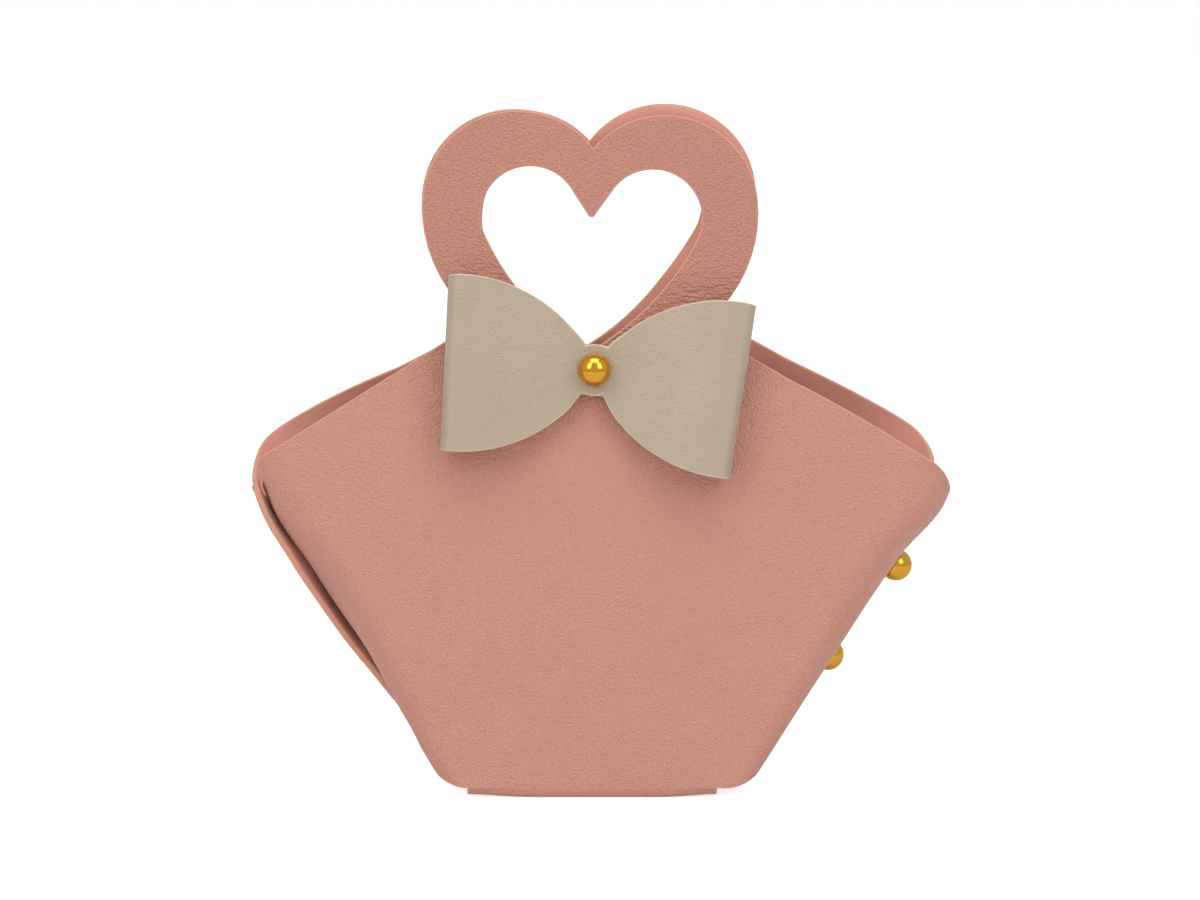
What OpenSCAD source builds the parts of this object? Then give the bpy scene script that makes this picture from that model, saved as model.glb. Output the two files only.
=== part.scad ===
// Small heart handled gift handbag, cut from one leather sheet and held by ball studs
// Origin: centre of the base on the floor. +X to the right, +Y to the back, front at -Y

/* [Leather sheet] */
// Thickness of the leather sheet
sheet_t = 1.2; // [0.8:0.1:1.6]
// Gap between two layers of the sheet that lie on each other
layer_gap = 0.3; // [0.2:0.05:0.5]

/* [Bag body] */
// Depth of the base from front to back, over the leather
base_depth = 44; // [38:1:50]
// Width of the base strip
base_width = 44; // [38:1:46]
// Distance from the centre at which the outer side wall meets the floor
side_foot = 26.8; // [25.5:0.1:28]
// Slope of the side walls, from the floor
side_slope = 55.5; // [52:0.5:60]
// Outer radius of the fold between base and panels
fold_r = 2.2; // [1.8:0.1:3]
// Radius of the side bends where they reach the floor
bend_foot_r = 2.6; // [2.2:0.1:3.2]
// Opening angle with which the side bends widen upwards
bend_spread = 5.5; // [4:0.25:6.5]
// Radius of the lower corners of the panels
foot_corner_r = 9; // [6:0.5:10]
// Radius of the shoulders
shoulder_r = 7; // [5:0.5:8]
// Fall of the top edges from the neck to the shoulders
shoulder_fall = 30.5; // [26:0.5:34]

/* [Side wings] */
// Distance of the outer wing's free edge from the far panel, at the shoulders
wing_margin_top = 3.5; // [2:0.5:6]
// Distance of the outer wing's free edge from the far panel, at the floor
wing_margin_foot = 12; // [8:0.5:15]
// Distance of the inner wing's free edge from the far bend, at the shoulders
inner_margin_top = 0; // [0:0.5:2]
// Distance of the inner wing's free edge from the far bend, at the floor
inner_margin_foot = 3.5; // [2:0.5:6]
// Radius of the free corners of the wings
wing_corner_r = 3; // [1:0.5:4]

/* [Heart handle] */
// Half width of the neck below the heart
neck_x = 20; // [19:0.5:21.5]
// Height of the neck, measured along the panel
neck_u = 85.3; // [84:0.1:86.5]
// Distance of the lobe centres from the middle, outer outline
lobe_x = 13.1; // [12:0.1:14]
// Height of the lobe centres along the panel, outer outline
lobe_u = 106.4; // [103:0.2:110]
// Radius of the lobes, outer outline
lobe_r = 16.8; // [16:0.1:18]
// Radius of the curved sides below the lobes, outer outline
lobe_side_r = 25; // [24:1:40]
// Distance of the lobe centres from the middle, finger opening
grip_lobe_x = 11.4; // [10.5:0.1:12]
// Height of the lobe centres along the panel, finger opening
grip_lobe_u = 104.6; // [102:0.2:107]
// Radius of the lobes, finger opening
grip_lobe_r = 8.8; // [7.5:0.1:9.4]
// Radius of the curved sides below the lobes, finger opening
grip_side_r = 50; // [35:1:80]
// Height of the lower tip of the finger opening
grip_tip_u = 80.3; // [80.3:0.1:84]
// Height of the upper notch of the finger opening
grip_notch_u = 104.6; // [103:0.1:107]
// Half width of the upper notch's blunt point
grip_notch_half = 0.4; // [0.3:0.1:1]
// Angle at which the finger opening's lobes run into the notch
grip_notch_turn = 150; // [140:1:155]
// Gap between the two handles at their tops
handle_gap = 1.2; // [0.8:0.1:3]
// Turn of the front handle in its plane, as it is folded
front_handle_turn = -1.6; // [-3:0.1:3]
// Turn of the back handle in its plane, as it is folded
back_handle_turn = -2.1; // [-3:0.1:3]
// Sideways offset of the back handle, as it is folded
back_handle_shift = 0.5; // [0:0.1:2]
// Upward offset of the back handle, as it is folded
back_handle_lift = 0.7; // [0:0.1:2]

/* [Bow] */
// Thickness of the bow's strip
bow_t = 0.8; // [0.5:0.1:1]
// Height of the bow's stud along the panel
bow_u = 77; // [76:0.1:77.1]
// Length of one loop, from the stud to its fold
loop_len = 26.8; // [22:0.2:28]
// Half height of a loop at its fold
loop_half = 15.75; // [12:0.25:17]
// Half height of a loop beside the stud
loop_waist = 4.4; // [3.8:0.1:5.5]
// Radius of the loops' curved edges
loop_edge_r = 25.5; // [22:0.5:30]
// Distance from the stud at which the curved edges would be level
loop_edge_x = 23.9; // [22:0.1:26]
// Depth of a loop at its fold
loop_depth = 6.6; // [4:0.2:8]
// Diameter of the bow's middle disc
bow_disc_d = 9.3; // [8:0.1:11]
// Droop of each loop
loop_droop = 2.9; // [0:0.1:5]
// Tilt of the whole bow
bow_tilt = 5.7; // [0:0.1:10]
// Gap between the bow and what it lies on or under
bow_gap = 0.3; // [0.2:0.05:0.5]

/* [Ball studs] */
// Diameter of the ball heads
ball_d = 6; // [5:0.1:6.5]
// Height of a ball's centre over its flat seat
ball_rise = 1.1; // [0.5:0.1:2]
// Diameter of the studs' necks
neck_d = 3; // [2.6:0.1:3.4]
// Gap round a neck in its hole
neck_gap = 0.1; // [0.05:0.05:0.2]
// Diameter of the screws' shanks
shank_d = 1.8; // [1.4:0.1:2]
// Gap round a shank in its bore
shank_gap = 0.05; // [0.03:0.01:0.1]
// Diameter of the screws' heads
screw_head_d = 6.4; // [5:0.1:7]
// Thickness of the screws' heads
screw_head_t = 1; // [0.8:0.1:1.4]
// Width of the driver slots
slot_w = 0.9; // [0.6:0.1:1.2]
// Depth of the driver slots
slot_deep = 0.4; // [0.2:0.1:0.6]
// How far the bores reach into the balls
bore_reach = 1.6; // [1:0.1:2]
// Gap between a shank's end and the bottom of its bore
shank_end_gap = 0.3; // [0.2:0.05:0.5]
// Height of the upper side studs above the floor
upper_stud_z = 39; // [36:0.5:41]
// Height of the lower side studs above the floor
lower_stud_z = 22; // [18:0.5:26]

/* [Hidden] */

leather = "#cc8f7b";
pearl = "#bcae96";
gold = "#d0a24a";

// Overrun of cuts past what they cut
over = 1;
// Larger than any part of the bag
reach = 4 * base_depth;
// Relief between the base strip and the panels' corners
corner_relief = 0.3;
// Least radius inside the cones of the bends
cone_hole = 0.3;
// Gap of the bending lines across the panels
flap_gap = 0.3;
// Height of the bending lines over the lower ends of the shoulders' arcs
flap_rise = 2.4;
// How far a bend's wall is set in and tucked into the flat sheets that it joins
tuck = 0.01;
tuck_turn = 0.4;
// Steps of a corner arc, of a lobe and of a loop's curve
corner_steps = 10;
lobe_steps = 26;
loop_steps = 14;
$fn = 64;

// Height of the handles' tops along the panel
handle_top = lobe_u + lobe_r;
// Lean of the panels towards each other
lean = asin((base_depth/2 - sheet_t - handle_gap/2) / handle_top);
layer_step = (sheet_t + layer_gap) / sin(side_slope);
inner_foot = side_foot - layer_step;
seat_grip = 2*sheet_t + layer_gap;
bow_stack = 3*bow_t;

// Directions: into the bag from the front and from the right side, up the front and up the side
front_in = [0, cos(lean), -sin(lean)];
side_in = [-sin(side_slope), 0, cos(side_slope)];
front_up = [0, sin(lean), cos(lean)];
side_up = [cos(side_slope), 0, sin(side_slope)];
across = [1, 0, 0];
backward = [0, 1, 0];

// Ridge in which the front and the right side would meet without their bend
ridge = cross(front_in, side_in) / norm(cross(front_in, side_in));
turn = acos(front_in * side_in);
inward = (front_in + side_in) / norm(front_in + side_in);
axis_turn = asin(sin(bend_spread) / cos(turn/2));
bend_axis = cos(axis_turn)*ridge + sin(axis_turn)*inward;
apex_depth = bend_foot_r * cos(axis_turn) / sin(bend_spread);
front_ruling = (bend_axis - sin(bend_spread)*front_in) / cos(bend_spread);
side_ruling = (bend_axis - sin(bend_spread)*side_in) / cos(bend_spread);
to_front = (sin(bend_spread)*bend_axis - front_in) / cos(bend_spread);
to_side = (sin(bend_spread)*bend_axis - side_in) / cos(bend_spread);
sector = acos(to_front * to_side);

// Turn that lays the bend's own axes on the sheet
axis_tilt = acos(bend_axis[2]);
axis_heading = atan2(bend_axis[1], bend_axis[0]);
tilt_x = [cos(axis_tilt)*cos(axis_heading), cos(axis_tilt)*sin(axis_heading), -sin(axis_tilt)];
tilt_y = [-sin(axis_heading), cos(axis_heading), 0];
axis_twist = atan2(to_front * tilt_y, to_front * tilt_x);

// Fold between base and panel: its run from the sharp corner, along either sheet
fold_run = fold_r / tan((90 - lean)/2);
// Angle of the ridge seen square to the panel
ridge_angle = acos(ridge * across);

// Point on an arc round c
function on_arc(c, r, a) = c + r*[cos(a), sin(a)];
function arc(c, r, from, to, steps) = [for (i = [0:steps]) on_arc(c, r, from + (to - from)*i/steps)];

// Rounded corner at p between the directions back to a and on to b
function corner(p, a, b, r) =
    let (
        half = acos(cos(a)*cos(b) + sin(a)*sin(b))/2,
        run = r / tan(half),
        mid = [cos(a) + cos(b), sin(a) + sin(b)],
        c = p + mid/norm(mid) * r/sin(half),
        start = p + run*[cos(a), sin(a)] - c,
        end = p + run*[cos(b), sin(b)] - c,
        a0 = atan2(start[1], start[0]),
        sweep = atan2(end[1], end[0]) - a0,
        turned = sweep > 180 ? sweep - 360 : sweep < -180 ? sweep + 360 : sweep
    )
    arc(c, r, a0, a0 + turned, corner_steps);

// Arc of radius side_r from p, which runs on smoothly into the arc of radius r round c up to the angle to
function swelling(p, c, r, side_r, to) =
    let (
        d = norm(c - p),
        e = (c - p)/d,
        along = (side_r*side_r - (side_r - r)*(side_r - r) + d*d) / (2*d),
        m = p + along*e + sqrt(side_r*side_r - along*along)*[-e[1], e[0]],
        start = atan2(p[1] - m[1], p[0] - m[0]),
        meet = atan2(c[1] - m[1], c[0] - m[0])
    )
    concat(arc(m, side_r, start, meet, corner_steps), arc(c, r, meet + (to - meet)/lobe_steps, to, lobe_steps));
function spin2(p, a, c) =
    c + [cos(a)*(p[0] - c[0]) - sin(a)*(p[1] - c[1]), sin(a)*(p[0] - c[0]) + cos(a)*(p[1] - c[1])];
function skewed(pts, sk) = [for (p = pts) spin2(p, sk[2], [0, lobe_u]) + [sk[0], sk[1]]];
function mirrored(pts) = [for (i = [len(pts) - 1:-1:0]) [-pts[i][0], pts[i][1]]];

// Right half of the heart, from the neck up to the notch
function heart_half() =
    swelling([neck_x, neck_u], [lobe_x, lobe_u], lobe_r, lobe_side_r, acos(-lobe_x/lobe_r));

// Right half of the finger opening, from its lower tip up to the blunt notch
function grip_half() =
    concat(
        swelling([0, grip_tip_u], [grip_lobe_x, grip_lobe_u], grip_lobe_r, grip_side_r, grip_notch_turn),
        [[grip_notch_half, grip_notch_u]]
    );
function heart_right(sk) = skewed(heart_half(), sk);
function heart_left(sk) = skewed(mirrored(heart_half()), sk);

// Shoulder of a side whose wall meets the floor at foot, with the neck at n
function shoulder_point(foot, n) =
    let (
        f = tan(shoulder_fall),
        k = tan(ridge_angle),
        x = (n[1] + f*n[0] + k*foot) / (k + f)
    )
    [x, k*(x - foot)];
function shoulder(foot, n) =
    corner(shoulder_point(foot, n), 180 + ridge_angle, 180 - shoulder_fall, shoulder_r);
function foot_corner(foot) = corner([foot, 0], 180, ridge_angle, foot_corner_r);

// Right side of the outline, at its foot and at its shoulder, each open to the other
function foot_side(foot) =
    let (low = foot_corner(foot))
    concat(
        [[base_width/2 + corner_relief, fold_run], [base_width/2 + corner_relief, 0]],
        [for (p = low) if (p[0] > base_width/2 + corner_relief) p],
        [[reach, low[len(low) - 1][1]], [reach, reach]]
    );
function shoulder_side(foot, n) =
    let (high = shoulder(foot, n))
    concat([[reach, -reach], [reach, high[0][1]]], high);

// Outline of one half of the bag, square to its panel: its feet, and its shoulders with the handle
module foot_outline() polygon(concat(foot_side(side_foot), mirrored(foot_side(inner_foot))));
module top_outline(sk) {
    hr = heart_right(sk);
    hl = heart_left(sk);
    right = shoulder_side(side_foot, hr[0]);
    left = shoulder_side(inner_foot, [-hl[len(hl) - 1][0], hl[len(hl) - 1][1]]);
    difference() {
        polygon(concat(right, hr, hl, mirrored(left)));
        polygon(concat(skewed(grip_half(), sk), skewed(mirrored(grip_half()), sk)));
    }
}

// Height of the bending line across the panel
flap_u = shoulder(side_foot, heart_half()[0])[0][1] + flap_rise;

module below_flap() translate([-reach, -reach]) square([2*reach, reach + flap_u - flap_gap/2]);
module above_flap() translate([-reach, flap_u + flap_gap/2]) square([2*reach, reach]);

// Frames of the front panel and of the right side wall, with x and y in the sheet
module on_front() translate([0, -base_depth/2, 0]) rotate([90 - lean, 0, 0]) children();
module through_front() on_front() translate([0, 0, -reach]) linear_extrude(reach + over) children();
module on_side(foot) translate([foot, 0, 0]) rotate([0, -side_slope, 0]) children();

// Flat part of the panel, between its two bends
function ruling_x(foot, u) =
    let (a = [foot, 0] - apex_depth*[ridge*across, ridge*front_up])
    a[0] + (u - a[1]) * (front_ruling*across) / (front_ruling*front_up);
module flat_region() {
    u0 = -over;
    u1 = reach;
    polygon([
        [ruling_x(side_foot, u0), u0], [ruling_x(side_foot, u1), u1],
        [-ruling_x(inner_foot, u1), u1], [-ruling_x(inner_foot, u0), u0]
    ]);
}

// Bend of the sheet round the ridge, a sector of a cone's wall
module bend(foot) {
    apex = [foot, -base_depth/2, 0] - apex_depth*ridge;
    near = (sheet_t + cone_hole) / sin(bend_spread);
    far = reach;
    wall = (sheet_t - tuck) / cos(bend_spread);
    k = tan(bend_spread);
    translate(apex) rotate([0, axis_tilt, axis_heading]) rotate([0, 0, axis_twist - tuck_turn])
        rotate_extrude(angle = sector + 2*tuck_turn)
            polygon([
                [near*k - wall, near], [near*k - tuck, near],
                [far*k - tuck, far], [far*k - wall, far]
            ]);
}

// Distance across the side wall, from its middle, at the height e up the slope
function wing_ruling_y(e) =
    let (a = [0, -base_depth/2] - apex_depth*[ridge*side_up, ridge*backward])
    a[1] + (e - a[0]) * (side_ruling*backward) / (side_ruling*side_up);
function wing_ruling_u(e) = (wing_ruling_y(e) + base_depth/2)*sin(lean) + e*sin(side_slope)*cos(lean);
function far_panel_y(e) = base_depth/2 - e*sin(side_slope)*tan(lean);

// Height of the wings' level tops up the slope, where the bending line leaves the bend
wing_top_e = (flap_u - flap_gap/2 - wing_ruling_u(0))*reach / (wing_ruling_u(reach) - wing_ruling_u(0));

// Wing in the plane of the side wall: outer ones reach over the far bend, inner ones end before it
module wing(foot, outer) {
    e0 = 0;
    e1 = wing_top_e + tuck;
    y0 = outer ? far_panel_y(e0) - wing_margin_foot : -wing_ruling_y(e0) - inner_margin_foot;
    y1 = outer ? far_panel_y(e1) - wing_margin_top : -wing_ruling_y(e1) - inner_margin_top;
    edge = atan2(y1 - y0, e1 - e0);
    on_side(foot) linear_extrude(sheet_t)
        polygon(concat(
            [[e0, wing_ruling_y(e0)]],
            corner([e0, y0], -90, edge, wing_corner_r),
            corner([e1, y1], 180 + edge, -90, wing_corner_r),
            [[e1, wing_ruling_y(e1)]]
        ));
}

module stud_holes() {
    for (z = [upper_stud_z, lower_stud_z], s = [0, 180])
        rotate([0, 0, s]) on_side(side_foot) translate([z/sin(side_slope), 0, -over])
            cylinder(d = neck_d + 2*neck_gap, h = seat_grip + 2*over);
}

// Flat panel and its two bends, cut to the top outline and to the band over or under the bending line
module front_sheet(sk, band) {
    intersection() {
        union() {
            on_front() translate([0, 0, -sheet_t]) linear_extrude(sheet_t) flat_region();
            bend(side_foot);
            mirror([1, 0, 0]) bend(inner_foot);
        }
        through_front() intersection() {
            top_outline(sk);
            if (band == "flap") above_flap(); else below_flap();
        }
    }
}

// Outer wing on the right and inner wing on the left, level at their tops
module wings() {
    intersection() {
        union() {
            wing(side_foot, true);
            mirror([1, 0, 0]) wing(inner_foot, false);
        }
        translate([-reach, -reach, -over]) cube([2*reach, 2*reach, over + wing_top_e*sin(side_slope)]);
    }
}

module half_panel(sk) {
    difference() {
        intersection() {
            union() {
                front_sheet(sk, "panel");
                wings();
            }
            through_front() foot_outline();
            translate([-reach, -reach, 0]) cube([2*reach, 2*reach, reach]);
        }
        stud_holes();
    }
}

module front_panel() {
    color(leather) half_panel([0, 0, front_handle_turn]);
}

module back_panel() {
    color(leather) rotate([0, 0, 180]) half_panel([back_handle_shift, back_handle_lift, back_handle_turn]);
}

// Fold of the sheet from the floor round to the panel
module fold_sector() {
    span = 2*fold_run;
    rotate([90, 0, 90]) linear_extrude(base_width, center = true) intersection() {
        difference() {
            circle(r = fold_r - tuck);
            circle(r = fold_r - sheet_t + tuck);
        }
        polygon([[0, 0], [span*tan(tuck_turn), -span], [-span, -span], [-span, span*tan(lean)]]);
    }
}

module base_panel() {
    flat = base_depth - 2*fold_run;
    color(leather) {
        translate([-base_width/2, -flat/2, 0]) cube([base_width, flat, sheet_t]);
        for (s = [0, 180]) rotate([0, 0, s]) translate([0, -flat/2, fold_r]) fold_sector();
    }
}

module front_flap() {
    color(leather) difference() {
        front_sheet([0, 0, front_handle_turn], "flap");
        on_front() translate([0, bow_u, -sheet_t - over])
            cylinder(d = neck_d + 2*neck_gap, h = sheet_t + 2*over);
    }
}

module back_flap() {
    color(leather) rotate([0, 0, 180])
        front_sheet([back_handle_shift, back_handle_lift, back_handle_turn], "flap");
}

// Loop of the bow: its section, and its outline seen from the front
fold_x = loop_len - loop_depth/2;
disc_r = bow_disc_d/2;
function loop_share(x) = (1 - cos(180*(x - disc_r)/(fold_x - disc_r)))/2;
function loop_top(x) = bow_stack + (loop_depth - bow_stack)*loop_share(x);
function loop_slope(x) = (loop_top(x + bow_gap) - loop_top(x - bow_gap)) / (2*bow_gap);
function loop_xs() = [for (i = [0:loop_steps]) disc_r + (fold_x - disc_r)*i/loop_steps];

module loop_section() {
    c = [fold_x, loop_depth/2];
    under = [for (x = loop_xs()) [x, loop_top(x) - bow_t*sqrt(1 + pow(loop_slope(x), 2))]];
    difference() {
        polygon(concat(
            [[0, 0], [0, bow_stack]],
            [for (x = loop_xs()) [x, loop_top(x)]],
            arc(c, loop_depth/2, 90, -90, loop_steps)
        ));
        polygon(concat(
            [[disc_r, bow_t]],
            [for (p = under) if (p[1] > bow_t) p],
            arc(c, loop_depth/2 - bow_t, 90, -90, loop_steps)
        ));
    }
}

function loop_edge_y(x) = loop_half - loop_edge_r + sqrt(pow(loop_edge_r, 2) - pow(x - loop_edge_x, 2));
waist_x = loop_edge_x - sqrt(pow(loop_edge_r, 2) - pow(loop_waist - loop_half + loop_edge_r, 2));
function loop_edge() =
    [for (i = [0:loop_steps]) let (x = waist_x + (loop_len - waist_x)*i/loop_steps) [x, loop_edge_y(x)]];

module loop() {
    intersection() {
        rotate([90, 0, 0]) linear_extrude(2*loop_half + 2*over, center = true) loop_section();
        translate([0, 0, -over]) linear_extrude(loop_depth + 2*over) polygon(concat(
            [[0, -loop_waist], [0, loop_waist]],
            loop_edge(),
            [for (i = [loop_steps:-1:0]) [loop_edge()[i][0], -loop_edge()[i][1]]]
        ));
    }
}

module bow() {
    color(pearl) on_front() translate([0, bow_u, bow_gap]) rotate([0, 0, -bow_tilt]) difference() {
        union() {
            rotate([0, 0, -loop_droop]) loop();
            mirror([1, 0, 0]) rotate([0, 0, -loop_droop]) loop();
            cylinder(d = bow_disc_d, h = bow_stack);
        }
        translate([0, 0, -over]) cylinder(d = neck_d + 2*neck_gap, h = bow_stack + 2*over);
    }
}

// Ball head on its hollow neck, seated at z = 0, with the layers that it holds below
module stud(grip) {
    color(gold) difference() {
        union() {
            intersection() {
                translate([0, 0, ball_rise]) sphere(d = ball_d);
                translate([-ball_d, -ball_d, 0]) cube([2*ball_d, 2*ball_d, 2*ball_d]);
            }
            translate([0, 0, -grip]) cylinder(d = neck_d, h = grip + ball_rise);
        }
        translate([0, 0, -grip - over]) cylinder(d = shank_d + 2*shank_gap, h = grip + over + bore_reach);
    }
}

module screw(grip) {
    color(gold) translate([0, 0, -grip]) difference() {
        union() {
            translate([0, 0, -screw_head_t]) cylinder(d = screw_head_d, h = screw_head_t);
            cylinder(d = shank_d, h = grip + bore_reach - shank_end_gap);
        }
        translate([-screw_head_d/2 - over, -slot_w/2, -screw_head_t - over])
            cube([screw_head_d + 2*over, slot_w, slot_deep + over]);
    }
}

module on_bow_seat() {
    on_front() translate([0, bow_u, bow_stack + 2*bow_gap]) children();
}

module on_side_seat(z, s) {
    rotate([0, 0, s]) on_side(side_foot) translate([z/sin(side_slope), 0, 0]) rotate([180, 0, 0]) children();
}

module bow_stud() on_bow_seat() stud(bow_stack + 2*bow_gap + sheet_t);
module bow_screw() on_bow_seat() screw(bow_stack + 2*bow_gap + sheet_t);
module right_upper_stud() on_side_seat(upper_stud_z, 0) stud(seat_grip);
module right_lower_stud() on_side_seat(lower_stud_z, 0) stud(seat_grip);
module left_upper_stud() on_side_seat(upper_stud_z, 180) stud(seat_grip);
module left_lower_stud() on_side_seat(lower_stud_z, 180) stud(seat_grip);
module right_upper_screw() on_side_seat(upper_stud_z, 0) screw(seat_grip);
module right_lower_screw() on_side_seat(lower_stud_z, 0) screw(seat_grip);
module left_upper_screw() on_side_seat(upper_stud_z, 180) screw(seat_grip);
module left_lower_screw() on_side_seat(lower_stud_z, 180) screw(seat_grip);

front_panel();
base_panel();
back_panel();
front_flap();
back_flap();
bow();
bow_stud();
bow_screw();
right_upper_stud();
right_lower_stud();
left_upper_stud();
left_lower_stud();
right_upper_screw();
right_lower_screw();
left_upper_screw();
left_lower_screw();
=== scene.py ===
import math

import bmesh
import bpy
from mathutils import Matrix, Vector, noise


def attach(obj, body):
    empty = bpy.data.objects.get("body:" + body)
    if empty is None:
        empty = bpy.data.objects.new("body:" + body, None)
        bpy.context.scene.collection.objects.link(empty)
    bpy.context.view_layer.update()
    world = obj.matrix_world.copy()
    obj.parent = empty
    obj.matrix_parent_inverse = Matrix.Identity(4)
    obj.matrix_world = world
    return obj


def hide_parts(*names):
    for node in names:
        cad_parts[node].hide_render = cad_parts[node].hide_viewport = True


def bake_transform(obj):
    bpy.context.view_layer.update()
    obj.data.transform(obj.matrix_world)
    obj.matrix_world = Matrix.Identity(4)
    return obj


bl_info = {
    "name": "Heart handled gift handbag",
    "version": (1, 0, 0),
    "blender": (4, 5, 0),
    "location": "3D View > Sidebar > Handbag",
    "description": "Folded leather sheets, bow, ball studs, floor, lamps and camera of a small gift handbag",
    "category": "Object",
}

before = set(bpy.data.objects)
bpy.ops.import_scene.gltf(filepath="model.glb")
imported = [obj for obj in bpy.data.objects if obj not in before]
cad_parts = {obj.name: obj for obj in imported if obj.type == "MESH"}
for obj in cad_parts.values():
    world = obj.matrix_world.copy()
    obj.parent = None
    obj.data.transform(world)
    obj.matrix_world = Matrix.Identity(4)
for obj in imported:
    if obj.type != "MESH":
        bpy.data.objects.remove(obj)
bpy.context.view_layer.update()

MM = 0.001
ACROSS = Vector((1, 0, 0))
BACKWARD = Vector((0, 1, 0))
DOWN = Vector((0, 0, -1))
WHITE = (1, 1, 1)

# Steps of the outlines' curves, and mesh lines along the base's fold and the side bends
ARC_STEPS = 26
SIDE_STEPS = 10
CURVE_STEPS = 12
WING_CORNER_STEPS = 6
FOLD_LINES = 8
BEND_LINES = 16

# Places on the flat sheet in millimetres, with X across, Y to the back and U up the sheet
BEND_LINES_X = 8
BEND_LINES_DROP = 2.6
FOOT_ARC_Y = 6
FOOT_CLEAR = 0.2
TOP_CURVE_SHARE = 0.6
# Points this near to each other merge, and places this near to an edge are still on it
MERGE = 0.02
TOUCH = 0.05
# Millimetres of the flat sheet to one unit of its pattern map
MAP_UNIT = 100

# Where the leather's soft changes begin and are whole, and in rows of four also where they begin to
# end and have ended, in millimetres, with Z over the floor
LOBE_SHIFT_X = (3, 14)
LOBE_SHIFT_U = (88, 108)
OPENING_SHIFT_U = (93, 107)
BACK_BULGE_U = (62, 84, 94, 116)
UNEVEN_Z = (4, 26)
WING_FLARE_Z = (18, 27, 37, 45)
WING_TUCK_Z = (10, 21)
FREE_EDGE_Y = (-1, 8)
OUTER_EDGE_Y = (10.5, 14)
INNER_EDGE_Y = (8, 12)
WALL_BULGE_Y = (2, 11)
WALL_BULGE_Z = (2, 40, 46, 56)
BACK_SHOULDER_Y = (3, 9)
BACK_SHOULDER_Z = (46, 53, 55, 63)
FRONT_SHOULDER_Y = (-8, 0)
FRONT_SHOULDER_Z = (42, 51, 50, 66)
LEFT_SHOULDER_Y = (-10, -3)
LEFT_SHOULDER_Z = (45, 52, 57, 68)
LEFT_HOLLOW_Y = (-9, -4)
LEFT_HOLLOW_Z = (13, 26, 38, 48)
LEFT_FOOT_Y = (-19, -14)
LEFT_FOOT_Z = (7, 15)
# The same for how far inside a bend its changes begin, and for how much a side wall's face looks aside
BEND_REACH = (14, 4)
WALL_FACING = (0.35, 0.8)
# Length of the leather's waves, where the left wall's curl begins and how far it runs, in millimetres
UNEVEN_REACH = 24
WING_CURL_Z = 43.5
WING_CURL_REACH = 12.5
# Share of the base strip's half width at which its curl begins
BASE_CURL_SHARE = 0.55
# Share of the right wall's bulge by which the studs on it rise
BULGE_RISE_SHARE = 0.5

# Grains per metre, and depths of the finishes' relief in metres
LEATHER_GRAIN = 2700
LEATHER_RELIEF = 0.00022
PEARL_GRAIN = 3000
PEARL_RELIEF = 0.00009
NAP_RELIEF = 0.0001
GOLD_RELIEF = 0.00003
# How far the napped finishes' shades differ
NAP_CONTRAST = {"lining": 0.12, "leather_edge": 0.06, "pearl_edge": 0.05}

# Mesh of the studs and screws, and the angles past which an edge is rounded and is kept sharp
BALL_SEGMENTS = 72
BALL_RINGS = 40
HEAD_SEGMENTS = 64
ROUNDED_ANGLE = math.radians(60)
SHARP_ANGLE = math.radians(40)

# The stage in metres: lamps by name, with place, size and the setting that holds their power
LAMPS = (
    ("left_softbox", (-0.42, -0.48, 0.48), (0.35, 0.5), "key_power"),
    ("right_softbox", (0.42, -0.48, 0.48), (0.35, 0.5), "key_power"),
    ("top_softbox", (0, -0.2, 0.75), (0.6, 0.4), "top_power"),
)
CAMERA_NEAR = 0.01
CAMERA_FAR = 20
FLOOR_DROP = 0.00005
# Width of the camera's sensor in millimetres
SENSOR_WIDTH = 36
# Brightness of the surround that shiny faces mirror, of what the camera sees
MIRROR_SHARE = 0.35


def number(name, description, default, subtype, **more):
    """A number that shows in the panel."""
    return bpy.props.FloatProperty(
        name=name, description=description, default=default, subtype=subtype, **more)


def offset(name, description, millimetres, **limits):
    """A length of either sign, given in millimetres."""
    return number(name, description, millimetres * MM, "DISTANCE", unit="LENGTH", precision=4, **limits)


def length(name, description, millimetres):
    """A length, given in millimetres."""
    return offset(name, description, millimetres, min=0)


def angle(name, description, degrees):
    """An angle, given in degrees."""
    return number(name, description, math.radians(degrees), "ANGLE", unit="ROTATION")


def colour(name, description, *display):
    """A colour, given as its three display values of 0 to 255."""
    linear = []
    for value in display:
        share = value / 255
        linear.append(share / 12.92 if share <= 0.04045 else ((share + 0.055) / 1.055) ** 2.4)
    return bpy.props.FloatVectorProperty(
        name=name, description=description, default=linear, size=3, min=0, max=1, subtype="COLOR")


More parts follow.
